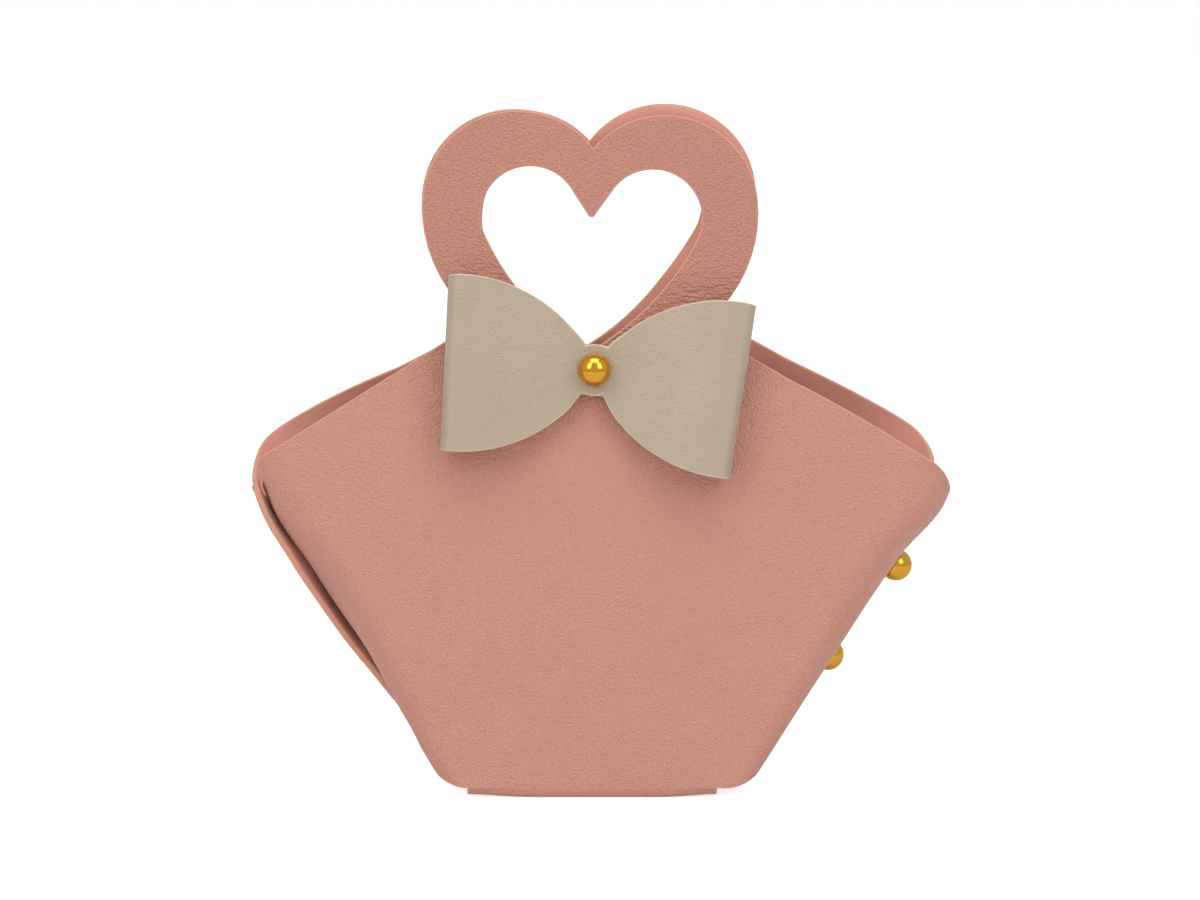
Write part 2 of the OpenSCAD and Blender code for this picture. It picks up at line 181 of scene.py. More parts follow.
class HandbagSheetSettings(bpy.types.PropertyGroup):
    """Sizes of the folded leather sheet."""

    thickness: length("Sheet thickness", "Thickness of the leather", 1.2)
    layer_gap: length("Layer gap", "Gap between two layers on each other", 0.3)
    base_depth: length("Base depth", "Base from front to back", 44)
    base_width: length("Base width", "Width of the base strip", 44)
    side_foot: length("Side foot", "From the middle to where a side wall meets the floor", 26.8)
    side_slope: angle("Side slope", "Slope of the side walls from the floor", 55.5)
    fold_radius: length("Fold radius", "Outer radius of the base's folds", 1.75)
    bend_foot_radius: length("Bend radius", "Radius of the side bends at the floor", 2.6)
    bend_spread: angle("Bend spread", "Angle with which the side bends widen upwards", 5.5)
    foot_corner: length("Lower corner radius", "Radius of the panels' lower corners", 9)
    foot_rise: length("Lower corner rise", "Panels' lower corners over the base", 2)
    base_curl: length("Base curl", "How far the base strip's ends curl up", 0.5)
    shoulder_radius: length("Shoulder radius", "Radius of the shoulders", 7)
    shoulder_fall: angle("Shoulder fall", "Fall of the top edges from the neck outwards", 30.5)
    handle_gap: length("Handle gap", "Between the two handles at their tops", 1.2)
    wing_rise: length("Wing height", "Height of the wings along the side wall", 62.9)
    wing_lift: length("Wing corner lift", "How much higher the back wing's free corner is", 3.5)
    wing_margin_top: length("Upper wing margin", "Free edge to the far panel, at the top", 3.5)
    wing_margin_foot: length("Lower wing margin", "Free edge to the far panel, at the floor", 12)
    inner_margin_top: length("Upper inner margin", "Inner free edge to the far bend, at the top", 0)
    inner_margin_foot: length("Lower inner margin", "Inner free edge to the far bend, at the floor", 3.5)
    wing_corner: length("Wing corner radius", "Radius of the wings' free corners", 3)
    wing_flare: length("Wing flare", "Bulge of the free edges at half height", 0.6)
    wing_tuck: length("Wing tuck", "How far the free edges are drawn in at the floor", 0.8)
    wing_curl: length("Wing curl", "How far the free edges are drawn in at the top", 3.5)
    left_foot_shift: length("Left foot shift", "Front's left bend outwards at the floor", 0.9)
    left_hollow: length("Left hollow", "Front's left bend inwards at half height", 1)
    shoulder_flare: length("Shoulder flare", "Front's right shoulder outwards", 2.2)
    back_shoulder_flare: length("Back shoulder flare", "Back's right shoulder outwards", 1)
    left_shoulder_flare: length("Left shoulder flare", "Front's left shoulder outwards", 1.1)
    back_shoulder_turn: angle("Back shoulder turn", "Steeper end of the back's left top edge", 5)
    back_right_turn: angle("Back right turn", "Steeper end of the back's right top edge", 2.5)
    front_top_turn: angle("Front top turn", "Steeper end of the front's right top edge", 3)
    back_right_fall: angle("Back right fall", "Steeper fall of the back's right top edge", 0.7)
    front_left_fall: angle("Front left fall", "Steeper fall of the front's left top edge", 1.7)
    neck_x: length("Neck half width", "Half width of the neck below the heart", 20)
    neck_u: length("Neck height", "Height of the neck along the panel", 85.3)
    lobe_x: length("Lobe distance", "Heart's lobe centres from the middle", 13.1)
    lobe_u: length("Lobe height", "Height of the heart's lobe centres", 106.4)
    lobe_radius: length("Lobe radius", "Radius of the heart's lobes", 16.8)
    front_lobe_shift: length("Front lobe shift", "Wider left lobe of the front heart", 0.5)
    back_lobe_shift: length("Back lobe shift", "Wider left lobe of the back heart", 1)
    lobe_side_radius: length("Side radius", "Heart's sides between neck and lobe", 25)
    grip_x: length("Opening lobe distance", "Finger opening's lobe centres from the middle", 11.05)
    grip_u: length("Opening lobe height", "Height of the finger opening's lobe centres", 104.6)
    grip_radius: length("Opening lobe radius", "Radius of the finger opening's lobes", 8.8)
    grip_side_radius: length("Opening side radius", "Radius of the finger opening's sides", 50)
    grip_tip_u: length("Opening tip height", "Height of the opening's lower tip", 80.3)
    grip_notch_u: length("Opening notch height", "Height of the opening's upper notch", 104.6)
    grip_notch_half: length("Opening notch width", "Half width of the notch's blunt point", 0.4)
    grip_notch_turn: angle("Opening notch angle", "Angle at which the lobes run into the notch", 150)
    front_turn: angle("Front handle turn", "Turn of the front handle in its plane", -1.6)
    front_shift: offset("Front handle shift", "Sideways offset of the front handle", -0.5)
    back_turn: angle("Back handle turn", "Turn of the back handle in its plane", -2.1)
    back_shift: length("Back handle shift", "Sideways offset of the back handle", 0.5)
    back_lift: length("Back handle lift", "Upward offset of the back handle", 1.1)
    back_opening_shift: length("Back opening shift", "Sideways offset of the back opening's tip", 1.85)
    back_opening_drop: length("Back opening drop", "How much lower the back opening's tip is", 0.6)
    back_bulge: length("Back handle bulge", "Back handle's neck towards the front one", 5)
    stud_hole: length("Stud hole", "Diameter of the studs' holes", 3.2)
    cut_rim: length("Rim width", "Width of the cut edges' rounded rims", 0.22)
    mesh_step: length("Mesh step", "Distance of the flat sheet's mesh lines", 2)
    unevenness: length("Unevenness", "How far the leather waves", 0.22)


class HandbagBowSettings(bpy.types.PropertyGroup):
    """Sizes of the bow."""

    thickness: length("Strip thickness", "Thickness of the strip", 0.8)
    height: length("Height", "Height of the bow's stud along the panel", 77)
    loop_length: length("Loop length", "From the stud to a loop's fold", 26.8)
    loop_half: length("Loop half height", "Half height of a loop at its fold", 15.75)
    loop_waist: length("Loop waist", "Half height of a loop beside the stud", 4.9)
    edge_radius: length("Edge radius", "Radius of the loops' curved edges", 27)
    edge_x: length("Edge crest", "From the stud to where the edges are level", 23.9)
    loop_depth: length("Loop depth", "Depth of a loop at its fold", 6.6)
    fold_reach: length("Fold reach", "How far a loop's fold curves outwards", 2)
    disc: length("Disc diameter", "Diameter of the middle disc", 9.3)
    tab: length("Tab reach", "How far the strip's ends pass the stud", 3.6)
    droop: angle("Droop", "Droop of each loop", 2.9)
    tilt: angle("Tilt", "Tilt of the whole bow", 5.7)
    gap: length("Gap", "Between the bow and what it lies on", 0.3)
    cut_rim: length("Rim width", "Width of the cut edge's rounded rim", 0.24)
    mesh_step: length("Mesh step", "Distance of the flat strip's mesh lines", 1)


class HandbagStudSettings(bpy.types.PropertyGroup):
    """Sizes of the ball studs and their screws."""

    ball: length("Ball diameter", "Diameter of the ball heads", 6)
    rise: length("Ball rise", "Height of a ball's centre over its seat", 1.1)
    neck: length("Neck diameter", "Diameter of the studs' necks", 3)
    head: length("Screw head", "Diameter of the screws' heads", 6.4)
    head_height: length("Screw head height", "Thickness of the screws' heads", 1)
    slot_width: length("Slot width", "Width of the driver slots", 0.9)
    slot_depth: length("Slot depth", "Depth of the driver slots", 0.4)
    upper_z: length("Upper studs", "Height of the upper side studs", 39)
    lower_z: length("Lower studs", "Height of the lower side studs", 22)
    left_press: length("Left press", "How far the left studs pull the wall in", 1.9)
    right_press: length("Right press", "How far the right studs pull the wall in", 0.3)
    right_bulge: length("Right bulge", "How far the right wall bulges outwards", 1.2)
    press_reach: length("Press reach", "How far round a stud the wall is pulled in", 6)


class HandbagFinishSettings(bpy.types.PropertyGroup):
    """Colours of the leather, the bow and the metal."""

    leather: colour("Leather", "Grain side of the sheet", 207, 145, 126)
    lining: colour("Flesh side", "Napped flesh side of the sheet", 240, 178, 158)
    leather_edge: colour("Leather cut edge", "Cut edges of the sheet", 218, 158, 134)
    pearl: colour("Bow", "Pearly face of the bow's strip", 184, 168, 146)
    pearl_edge: colour("Bow cut edge", "Cut edges of the bow's strip", 216, 196, 170)
    gold: colour("Gold", "Polished metal of the studs", 224, 166, 58)


class HandbagStageSettings(bpy.types.PropertyGroup):
    """Camera, lamps and floor."""

    camera_distance: length("Camera distance", "From the aim point to the camera", 520)
    camera_rise: angle("Camera elevation", "Camera over the horizon", 9.5)
    camera_turn: angle("Camera turn", "Camera round the bag", 0)
    aim_height: length("Aim height", "Height of the point that the camera looks at", 59.93)
    lens: number("Lens", "Focal length of the camera", 85, "DISTANCE_CAMERA", unit="CAMERA", min=10)
    shift_x: number("Shift across", "Sideways shift of the picture", 0.0046, "FACTOR")
    shift_y: number("Shift up", "Upward shift of the picture", 0, "FACTOR")
    floor_size: length("Floor size", "Side of the floor", 6000)
    key_power: number("Side lamps", "Power of the two front lamps", 1.1, "POWER", unit="POWER", min=0)
    top_power: number("Top lamp", "Power of the lamp over the bag", 1.7, "POWER", unit="POWER", min=0)
    sky: number("Surround", "Light of the white surround", 0.5, "FACTOR", min=0)
    floor_lift: number("Floor lift", "White of the floor that only the camera sees", 0.75, "FACTOR", min=0)


def millimetres(group):
    """A group's sizes with each length in millimetres, at which scale the sheets are cut and bevelled."""
    sizes = {}
    for name, prop in group.bl_rna.properties.items():
        if prop.type == "FLOAT" and not prop.is_array:
            value = getattr(group, name)
            sizes[name] = value / MM if prop.unit == "LENGTH" else value
    return type("Sizes", (), sizes)


# Flat outlines


def arc(centre, radius, start, end, steps):
    """Points on an arc, from the angle start to the angle end."""
    points = []
    for i in range(steps + 1):
        turn = start + (end - start) * i / steps
        points.append(Vector((centre[0] + radius * math.cos(turn), centre[1] + radius * math.sin(turn))))
    return points


def corner(point, back, on, radius, steps=SIDE_STEPS):
    """Rounded corner at a point, between the directions back along one edge and on along the next."""
    first = Vector((math.cos(back), math.sin(back)))
    second = Vector((math.cos(on), math.sin(on)))
    half = first.angle(second) / 2
    centre = Vector(point) + (first + second).normalized() * radius / math.sin(half)
    run = radius / math.tan(half)
    start = Vector(point) + first * run - centre
    end = Vector(point) + second * run - centre
    begin = math.atan2(start.y, start.x)
    sweep = math.atan2(end.y, end.x) - begin
    sweep = (sweep + math.pi) % (2 * math.pi) - math.pi
    return arc(centre, radius, begin, begin + sweep, steps)


def swelling(point, centre, radius, side_radius, end):
    """Arc from a point, which runs on smoothly into the arc round a centre, up to an angle."""
    point, centre = Vector(point), Vector(centre)
    way = centre - point
    run = way.length
    way.normalize()
    along = (side_radius ** 2 - (side_radius - radius) ** 2 + run ** 2) / (2 * run)
    middle = point + along * way + math.sqrt(side_radius ** 2 - along ** 2) * Vector((-way.y, way.x))
    start = math.atan2(point.y - middle.y, point.x - middle.x)
    meet = math.atan2(centre.y - middle.y, centre.x - middle.x)
    side = arc(middle, side_radius, start, meet, SIDE_STEPS)
    return side + arc(centre, radius, meet + (end - meet) / ARC_STEPS, end, ARC_STEPS)


def rising(value, span):
    """Share of 0 to 1 that rises softly over a span."""
    low, high = span
    share = max(0.0, min(1.0, (value - low) / (high - low)))
    return share * share * (3 - 2 * share)


def falling(value, span):
    """Share of 1 to 0 that falls softly over a span."""
    return 1 - rising(value, span)


def passing(value, spans):
    """Share that rises softly between the first two values of four, and falls between the last two."""
    return rising(value, spans[:2]) * falling(value, spans[2:])


def skewed(points, skew, pivot):
    """Points turned about the heart's middle and shifted, as the handle is folded."""
    shift_x, shift_u, turn = skew
    turned = Matrix.Rotation(turn, 2)
    middle = Vector(pivot)
    return [middle + turned @ (Vector(p) - middle) + Vector((shift_x, shift_u)) for p in points]


def mirrored(points):
    """Points mirrored at the middle line, in reverse order."""
    return [Vector((-p[0], p[1])) for p in reversed(points)]


class SideBend:
    """The conical bend between the panel and a side wall that meets the floor at the distance foot."""

    def __init__(self, size, foot):
        lean = math.asin((size.base_depth / 2 - size.thickness - size.handle_gap / 2)
                         / (size.lobe_u + size.lobe_radius))
        self.spread = size.bend_spread
        self.origin = Vector((0, -size.base_depth / 2, 0))
        self.front_in = Vector((0, math.cos(lean), -math.sin(lean)))
        self.front_up = Vector((0, math.sin(lean), math.cos(lean)))
        self.side_in = Vector((-math.sin(size.side_slope), 0, math.cos(size.side_slope)))
        self.side_up = Vector((math.cos(size.side_slope), 0, math.sin(size.side_slope)))
        self.foot = foot
        ridge = self.front_in.cross(self.side_in).normalized()
        self.ridge_angle = math.acos(ridge.dot(ACROSS))
        half_turn = self.front_in.angle(self.side_in) / 2
        inward = (self.front_in + self.side_in).normalized()
        axis_turn = math.asin(math.sin(self.spread) / math.cos(half_turn))
        self.axis = math.cos(axis_turn) * ridge + math.sin(axis_turn) * inward
        depth = size.bend_foot_radius * math.cos(axis_turn) / math.sin(self.spread)
        self.apex = Vector((foot, 0, 0)) + self.origin - depth * ridge
        self.front_ruling = (self.axis - math.sin(self.spread) * self.front_in) / math.cos(self.spread)
        self.side_ruling = (self.axis - math.sin(self.spread) * self.side_in) / math.cos(self.spread)
        self.to_front = (math.sin(self.spread) * self.axis - self.front_in) / math.cos(self.spread)
        to_side = (math.sin(self.spread) * self.axis - self.side_in) / math.cos(self.spread)
        self.sector = self.to_front.angle(to_side)
        self.quarter = (to_side - math.cos(self.sector) * self.to_front) / math.sin(self.sector)
        self.side_out = -math.sin(self.sector) * self.to_front + math.cos(self.sector) * self.quarter
        self.flat_apex = self.on_panel(self.apex)
        ruling = self.on_panel(self.origin + self.front_ruling)
        self.ruling_turn = math.atan2(ruling.y, ruling.x)
        self.flat_sector = self.sector * math.sin(self.spread)

    def on_panel(self, point):
        """A point in space, seen square to the panel."""
        away = Vector(point) - self.origin
        return Vector((away.dot(ACROSS), away.dot(self.front_up)))

    def at(self, rho, alpha):
        """Flat point at a distance from the cone's tip and an angle past the front ruling."""
        turn = self.ruling_turn - alpha
        return self.flat_apex + rho * Vector((math.cos(turn), math.sin(turn)))

    def generatrix(self, beta):
        """Direction of the cone's wall, and its radial direction, at an angle round the cone's axis."""
        radial = math.cos(beta) * self.to_front + math.sin(beta) * self.quarter
        return math.cos(self.spread) * self.axis + math.sin(self.spread) * radial, radial

    def seen_turn(self, beta):
        """Angle at which the wall's line is seen, square to the panel."""
        seen = self.on_panel(self.origin + self.generatrix(beta)[0])
        return math.atan2(seen.y, seen.x), seen.length

    def flat_from_front(self, point, rounds=40):
        """Flat place of a point that is given as it is seen square to the panel."""
        away = Vector(point) - self.flat_apex
        wanted = math.atan2(away.y, away.x)
        if wanted >= self.ruling_turn:
            return Vector(point)
        low, high = 0.0, math.pi / 2
        for _ in range(rounds):
            middle = (low + high) / 2
            if self.seen_turn(middle)[0] > wanted:
                low = middle
            else:
                high = middle
        beta = min(low, self.sector)
        return self.at(away.length / self.seen_turn(beta)[1], beta * math.sin(self.spread))

    def flat_from_side(self, e, y):
        """Flat place of a point in the side wall: e up its slope, and y from front to back."""
        away = Vector((self.foot, 0, 0)) + e * self.side_up + y * BACKWARD - self.apex
        past = math.atan2(away.dot(self.side_out), away.dot(self.side_ruling))
        return self.at(away.length, self.flat_sector + past)

    def ruling_y(self, e):
        """Place of the side ruling in the side wall, at the height e up its slope."""
        start = self.apex - Vector((self.foot, 0, 0))
        run = (e - start.dot(self.side_up)) / self.side_ruling.dot(self.side_up)
        return start.y + run * self.side_ruling.y

    def place(self, point):
        """Place in space of a flat point, and the outward direction there."""
        away = Vector(point) - self.flat_apex
        alpha = self.ruling_turn - math.atan2(away.y, away.x)
        if alpha <= 0:
            return self.origin + point[0] * ACROSS + point[1] * self.front_up, -self.front_in
        if alpha < self.flat_sector:
            wall, radial = self.generatrix(alpha / math.sin(self.spread))
            return (self.apex + away.length * wall,
                    math.cos(self.spread) * radial - math.sin(self.spread) * self.axis)
        past = alpha - self.flat_sector
        run = math.cos(past) * self.side_ruling + math.sin(past) * self.side_out
        return self.apex + away.length * run, -self.side_in


class HalfSheet:
    """One half of the bag's leather: a panel with its handle, its two wings and half the base, cut flat."""

    def __init__(self, size, skew, lobe_shifts, top_turns, inner_fall, opening_shift=(0, 0), lift=0):
        self.size = size
        self.skew = skew
        self.lobe_shifts = lobe_shifts
        self.lift = lift
        self.inner_fall = inner_fall
        self.opening_shift = Vector(opening_shift)
        self.top_turns = top_turns
        step = (size.thickness + size.layer_gap) / math.sin(size.side_slope)
        self.right = SideBend(size, size.side_foot)
        self.left = SideBend(size, size.side_foot - step)
        self.lean = math.asin(self.right.front_up.y)
        self.fold_run = size.fold_radius / math.tan((math.pi / 2 - self.lean) / 2)
        self.fold_length = size.fold_radius * (math.pi / 2 + self.lean)
        self.seam_u = self.fold_run - self.fold_length - (size.base_depth / 2 - self.fold_run)
        self.tongue = size.base_width / 2

    def on_handle(self, points, side):
        """Points of a right half, or mirrored ones of a left half, on the handle as it is folded."""
        return skewed(points if side > 0 else mirrored(points), self.skew, (0, self.size.lobe_u))

    def heart(self, side):
        """Half of the heart's outline, from the neck to its notch on the right, or back on the left."""
        size = self.size
        end = math.acos(-size.lobe_x / size.lobe_radius)
        points = swelling((size.neck_x, size.neck_u), (size.lobe_x, size.lobe_u), size.lobe_radius,
                          size.lobe_side_radius, end)
        shift = self.lobe_shifts[0 if side < 0 else 1]
        for p in points:
            p.x += shift * rising(p.x, LOBE_SHIFT_X) * rising(p.y, LOBE_SHIFT_U)
        return self.on_handle(points, side)

    def grip(self, side):
        """Half of the finger opening, from its lower tip to the notch on the right, or back on the left."""
        size = self.size
        points = swelling((0, size.grip_tip_u), (size.grip_x, size.grip_u), size.grip_radius,
                          size.grip_side_radius, size.grip_notch_turn)
        points += [Vector((size.grip_notch_half, size.grip_notch_u)), Vector((0, size.grip_notch_u))]
        points = self.on_handle(points, side)
        return [p + self.opening_shift * falling(p.y, OPENING_SHIFT_U) for p in points]

    def foot_on_wing(self, bend):
        """The lower corner's arc, seen square to the panel, where it runs on over the wall to the floor."""
        size = self.size
        run = size.foot_corner / math.tan((math.pi - bend.ridge_angle) / 2)
        middle_x = bend.foot + size.foot_rise / math.tan(bend.ridge_angle) - run
        middle_u = size.foot_rise + size.foot_corner
        top_u = size.foot_rise + run * math.sin(bend.ridge_angle)
        points = []
        for i in range(1, CURVE_STEPS + 1):
            e = top_u * math.cos(self.lean) / math.sin(size.side_slope) * (1 - i / CURVE_STEPS)
            past = bend.foot + e * math.cos(size.side_slope) - middle_x
            u = middle_u - math.sqrt(size.foot_corner ** 2 - past ** 2)
            z = e * math.sin(size.side_slope)
            y = (u - z * math.cos(self.lean)) / math.sin(self.lean) - size.base_depth / 2
            if bend.ruling_y(e) < y < FOOT_ARC_Y:
                points.append(Vector((e, y)))
        return points

    def wing(self, bend, outer):
        """Flat outline of a wing, from its lower end at the bend round its free edge to the upper end."""
        size = self.size
        lean_run = math.sin(size.side_slope) * math.tan(self.lean)
        top = size.wing_rise
        far_e = top + self.lift if outer else top
        far_foot = size.base_depth / 2
        far_top = far_foot - top * lean_run
        if outer:
            low_y = far_foot - size.wing_margin_foot
            high_y = far_top - size.wing_margin_top
            top_slope = math.atan2(self.lift, high_y - bend.ruling_y(top))
        else:
            low_y = -bend.ruling_y(0) - size.inner_margin_foot
            high_y = -bend.ruling_y(top) - size.inner_margin_top
            top_slope = 0
        edge = math.atan2(high_y - low_y, far_e)
        points = self.foot_on_wing(bend)
        points += corner((0, low_y), -math.pi / 2, edge, size.wing_corner, WING_CORNER_STEPS)
        points += corner((far_e, high_y), math.pi + edge, -math.pi / 2 - top_slope, size.wing_corner,
                         WING_CORNER_STEPS)
        points += [Vector((top, bend.ruling_y(top)))]
        return [bend.flat_from_side(e, y) for e, y in points]

    def side(self, bend, outer, neck):
        """Outline of one side as on the right, from the base strip round the wing to the shoulder."""
        size = self.size
        top_fall = size.shoulder_fall if outer else size.shoulder_fall + self.inner_fall
        fall = math.tan(top_fall)
        rise = math.tan(bend.ridge_angle)
        tip_x = (neck.y + fall * neck.x + rise * bend.foot) / (rise + fall)
        tip = (tip_x, rise * (tip_x - bend.foot))
        foot = corner((bend.foot + size.foot_rise / rise, size.foot_rise), math.pi, bend.ridge_angle,
                      size.foot_corner)
        foot = [bend.flat_from_front(p) for p in foot if p.x > self.tongue + FOOT_CLEAR]
        steep = math.pi - top_fall - self.top_turns[0 if outer else 1]
        shoulder = corner(tip, math.pi + bend.ridge_angle, steep, size.shoulder_radius)
        start = shoulder[-1]
        end = start.lerp(neck, TOP_CURVE_SHARE)
        middle = start + Vector((math.cos(steep), math.sin(steep))) * (end - start).length / 2
        for i in range(1, CURVE_STEPS + 1):
            t = i / CURVE_STEPS
            shoulder.append(start.lerp(middle, t).lerp(middle.lerp(end, t), t))
        shoulder = [bend.flat_from_front(p) for p in shoulder]
        while shoulder[0].x < shoulder[1].x:
            shoulder.pop(0)
        points = [Vector((self.tongue, self.seam_u)), Vector((self.tongue, self.fold_run))]
        return points + foot + self.wing(bend, outer) + shoulder

    def halves(self):
        """The two closed outlines, right and left, that meet in the middle line."""
        heart_right, heart_left = self.heart(1), self.heart(-1)
        base = [Vector((0, self.seam_u))]
        right = base + self.side(self.right, True, heart_right[0]) + heart_right + self.grip(1)[::-1]
        neck = Vector((-heart_left[-1].x, heart_left[-1].y))
        left = heart_left + mirrored(self.side(self.left, False, neck)) + base + self.grip(-1)[::-1]
        return right, left

    def place(self, point):
        """Place in space of a flat point, and the outward direction there."""
        x, u = point
        size = self.size
        if u < self.fold_run and abs(x) <= self.tongue + TOUCH:
            run = self.fold_run - u
            centre_y = -size.base_depth / 2 + self.fold_run
            if run > self.fold_length:
                return Vector((x, centre_y + run - self.fold_length, 0)), DOWN
            turn = run / size.fold_radius - self.lean
            out = Vector((0, -math.cos(turn), -math.sin(turn)))
            return Vector((x, centre_y, size.fold_radius)) + size.fold_radius * out, out
        if x >= 0:
            return self.right.place((x, u))
        spot, out = self.left.place((-x, u))
        return Vector((-spot.x, spot.y, spot.z)), Vector((-out.x, out.y, out.z))

    def settle(self, spot, out, outer, studs):
        """How far the leather sits outside its true plane, at a place in space in millimetres."""
        size = self.size
        on_right = spot.x > 0
        shift = noise.noise(spot / UNEVEN_REACH) * size.unevenness * rising(spot.z, UNEVEN_Z)
        if spot.z < size.fold_radius and abs(spot.x) < self.tongue + TOUCH:
            shift -= size.base_curl * rising(abs(spot.x), (BASE_CURL_SHARE * self.tongue, self.tongue))
        tuck = size.wing_tuck * falling(spot.z, WING_TUCK_Z)
        if not on_right:
            tuck += size.wing_curl * (max(0, spot.z - WING_CURL_Z) / WING_CURL_REACH) ** 2
        bulge = size.wing_flare * passing(spot.z, WING_FLARE_Z)
        depth = spot.y if on_right else -spot.y
        near = rising(depth, FREE_EDGE_Y) * falling(depth, OUTER_EDGE_Y if outer else INNER_EDGE_Y)
        on_wall = rising(abs(out.x), WALL_FACING)
        shift += on_wall * (bulge - tuck) * near
        if on_right:
            shift += on_wall * wall_bulge(studs, spot.z) * falling(abs(spot.y), WALL_BULGE_Y)
        press = studs.right_press if on_right else studs.left_press
        for z in (studs.upper_z, studs.lower_z):
            away = Vector((spot.y, (spot.z - z) / math.sin(size.side_slope)))
            shift -= on_wall * press * math.exp(-(away.length / studs.press_reach) ** 2)
        return shift

    def sideways(self, spot, facing):
        """How far the bends stand outwards from their true place, at a place in space in millimetres."""
        size = self.size
        x, y, z = spot
        if x > 0:
            shift = size.back_shoulder_flare * passing(z, BACK_SHOULDER_Z) * rising(y, BACK_SHOULDER_Y)
            if facing > 0:
                shift += size.shoulder_flare * passing(z, FRONT_SHOULDER_Z) * falling(y, FRONT_SHOULDER_Y)
        elif facing > 0:
            shift = size.left_shoulder_flare * passing(z, LEFT_SHOULDER_Z) * falling(y, LEFT_SHOULDER_Y)
            shift -= size.left_hollow * passing(z, LEFT_HOLLOW_Z) * falling(y, LEFT_HOLLOW_Y)
            shift += size.left_foot_shift * falling(z, LEFT_FOOT_Z) * falling(y, LEFT_FOOT_Y)
        else:
            return 0
        plane_x = size.side_foot + z / math.tan(size.side_slope)
        return shift * rising(abs(x), [plane_x - reach for reach in BEND_REACH])


def wall_bulge(studs, z):
    """Bulge of the right side wall at a height, in millimetres."""
    return studs.right_bulge * passing(z, WALL_BULGE_Z)


# Mesh work on a flat sheet, in millimetres


def slice_flat(bm, faces, point, normal):
    """Cuts a mesh line through some faces of the flat sheet."""
    faces = [f for f in faces if f.is_valid]
    edges = {e for f in faces for e in f.edges}
    verts = {v for f in faces for v in f.verts}
    bmesh.ops.bisect_plane(
        bm, geom=faces + list(edges) + list(verts), dist=1e-5,
        plane_co=(point[0], point[1], 0), plane_no=(normal[0], normal[1], 0))


def slice_grid(bm, step):
    """Cuts evenly spaced mesh lines across the whole flat sheet."""
    xs = [v.co.x for v in bm.verts]
    ys = [v.co.y for v in bm.verts]
    for axis, (low, high) in enumerate(((min(xs), max(xs)), (min(ys), max(ys)))):
        normal = (1, 0) if axis == 0 else (0, 1)
        for i in range(math.ceil(low / step), math.floor(high / step) + 1):
            slice_flat(bm, bm.faces[:], (i * step * normal[0], i * step * normal[1]), normal)


def flat_sheet(*outlines):
    """The mesh of a flat sheet with one face for each closed outline."""
    bm = bmesh.new()
    for outline in outlines:
        bm.faces.new([bm.verts.new((p.x, p.y, 0)) for p in outline])
    bmesh.ops.remove_doubles(bm, verts=bm.verts[:], dist=MERGE)
    return bm


def add_rim(bm, width):
    """Two narrow bands along the outline, whose vertices know how near the cut edge they are."""
    rim = bm.verts.layers.float.new("rim")
    for v in bm.verts:
        v[rim] = 1.0 if v.is_boundary else 0.0
    inside = bm.faces[:]
    for nearness in (0.5, 0.0):
        before = set(bm.verts)
        bmesh.ops.inset_region(
            bm, faces=inside, thickness=width / 2, use_boundary=True, use_even_offset=True)
        banded = {v for f in inside for v in f.verts}
        banded |= {v for v in set(bm.verts) - before if v[rim] == 1.0 and not v.is_boundary}
        for v in banded:
            v[rim] = nearness
    return rim


def punch(bm, centre, radius, clear=1.0, ring=0.5):
    """Punches a round hole into the flat sheet, with a ring of faces round it."""
    middle = Vector((centre[0], centre[1], 0))
    near = [f for f in bm.faces if (f.calc_center_median() - middle).length < radius + clear]
    merged = bmesh.ops.dissolve_faces(bm, faces=near, use_verts=False)["region"]
    merged = [f for f in merged if f.is_valid]
    bmesh.ops.inset_region(bm, faces=merged, thickness=ring, use_boundary=True, use_even_offset=False)
    for v in {v for f in merged for v in f.verts}:
        v.co = middle + (v.co - middle).normalized() * radius
    bmesh.ops.delete(bm, geom=merged, context="FACES_ONLY")


def thicken(bm, rim, size):
    """Gives the flat sheet its second layer below, rounded rims, materials and pattern map."""
    made = bmesh.ops.extrude_face_region(bm, geom=bm.faces[:], use_keep_orig=True)
    lower = {g for g in made["geom"] if isinstance(g, bmesh.types.BMVert)}
    for v in bm.verts:
        drop = size.cut_rim * (1 - math.sqrt(max(0.0, 1 - min(1.0, v[rim]) ** 2)))
        v.co.z = drop - size.thickness if v in lower else -drop
    bmesh.ops.recalc_face_normals(bm, faces=bm.faces[:])
    lay_materials(bm, rim)
    lay_pattern(bm)


def lay_materials(bm, rim):
    """Outer face, inner face and cut edge of a thick flat sheet get materials 0, 1 and 2."""
    for f in bm.faces:
        at_edge = max(v[rim] for v in f.verts) > 0.01
        f.material_index = 2 if at_edge else (0 if f.normal.z > 0 else 1)
        f.smooth = True
    for e in bm.edges:
        if len({f.material_index for f in e.link_faces}) > 1:
            e.smooth = False


def lay_pattern(bm):
    """A map of the flat sheet, which the grain follows round the bends."""
    pattern = bm.loops.layers.uv.new("flat")
    for f in bm.faces:
        for loop in f.loops:
            loop[pattern].uv = (loop.vert.co.x / MAP_UNIT, loop.vert.co.y / MAP_UNIT)


def all_of(bm):
    """Each vertex, edge and face of a mesh."""
    return bm.verts[:] + bm.edges[:] + bm.faces[:]


def finished(bm, name, materials, turn=None):
    """A finished piece from a mesh in millimetres."""
    matrix = Matrix.Scale(MM, 4) @ (turn or Matrix.Identity(4))
    bmesh.ops.transform(bm, matrix=matrix, verts=bm.verts[:])
    mesh = bpy.data.meshes.new(name)
    bm.to_mesh(mesh)
    bm.free()
    for material in materials:
        mesh.materials.append(material)
    piece = bpy.data.objects.new(name, mesh)
    bpy.context.scene.collection.objects.link(piece)
    return piece


# Finishes


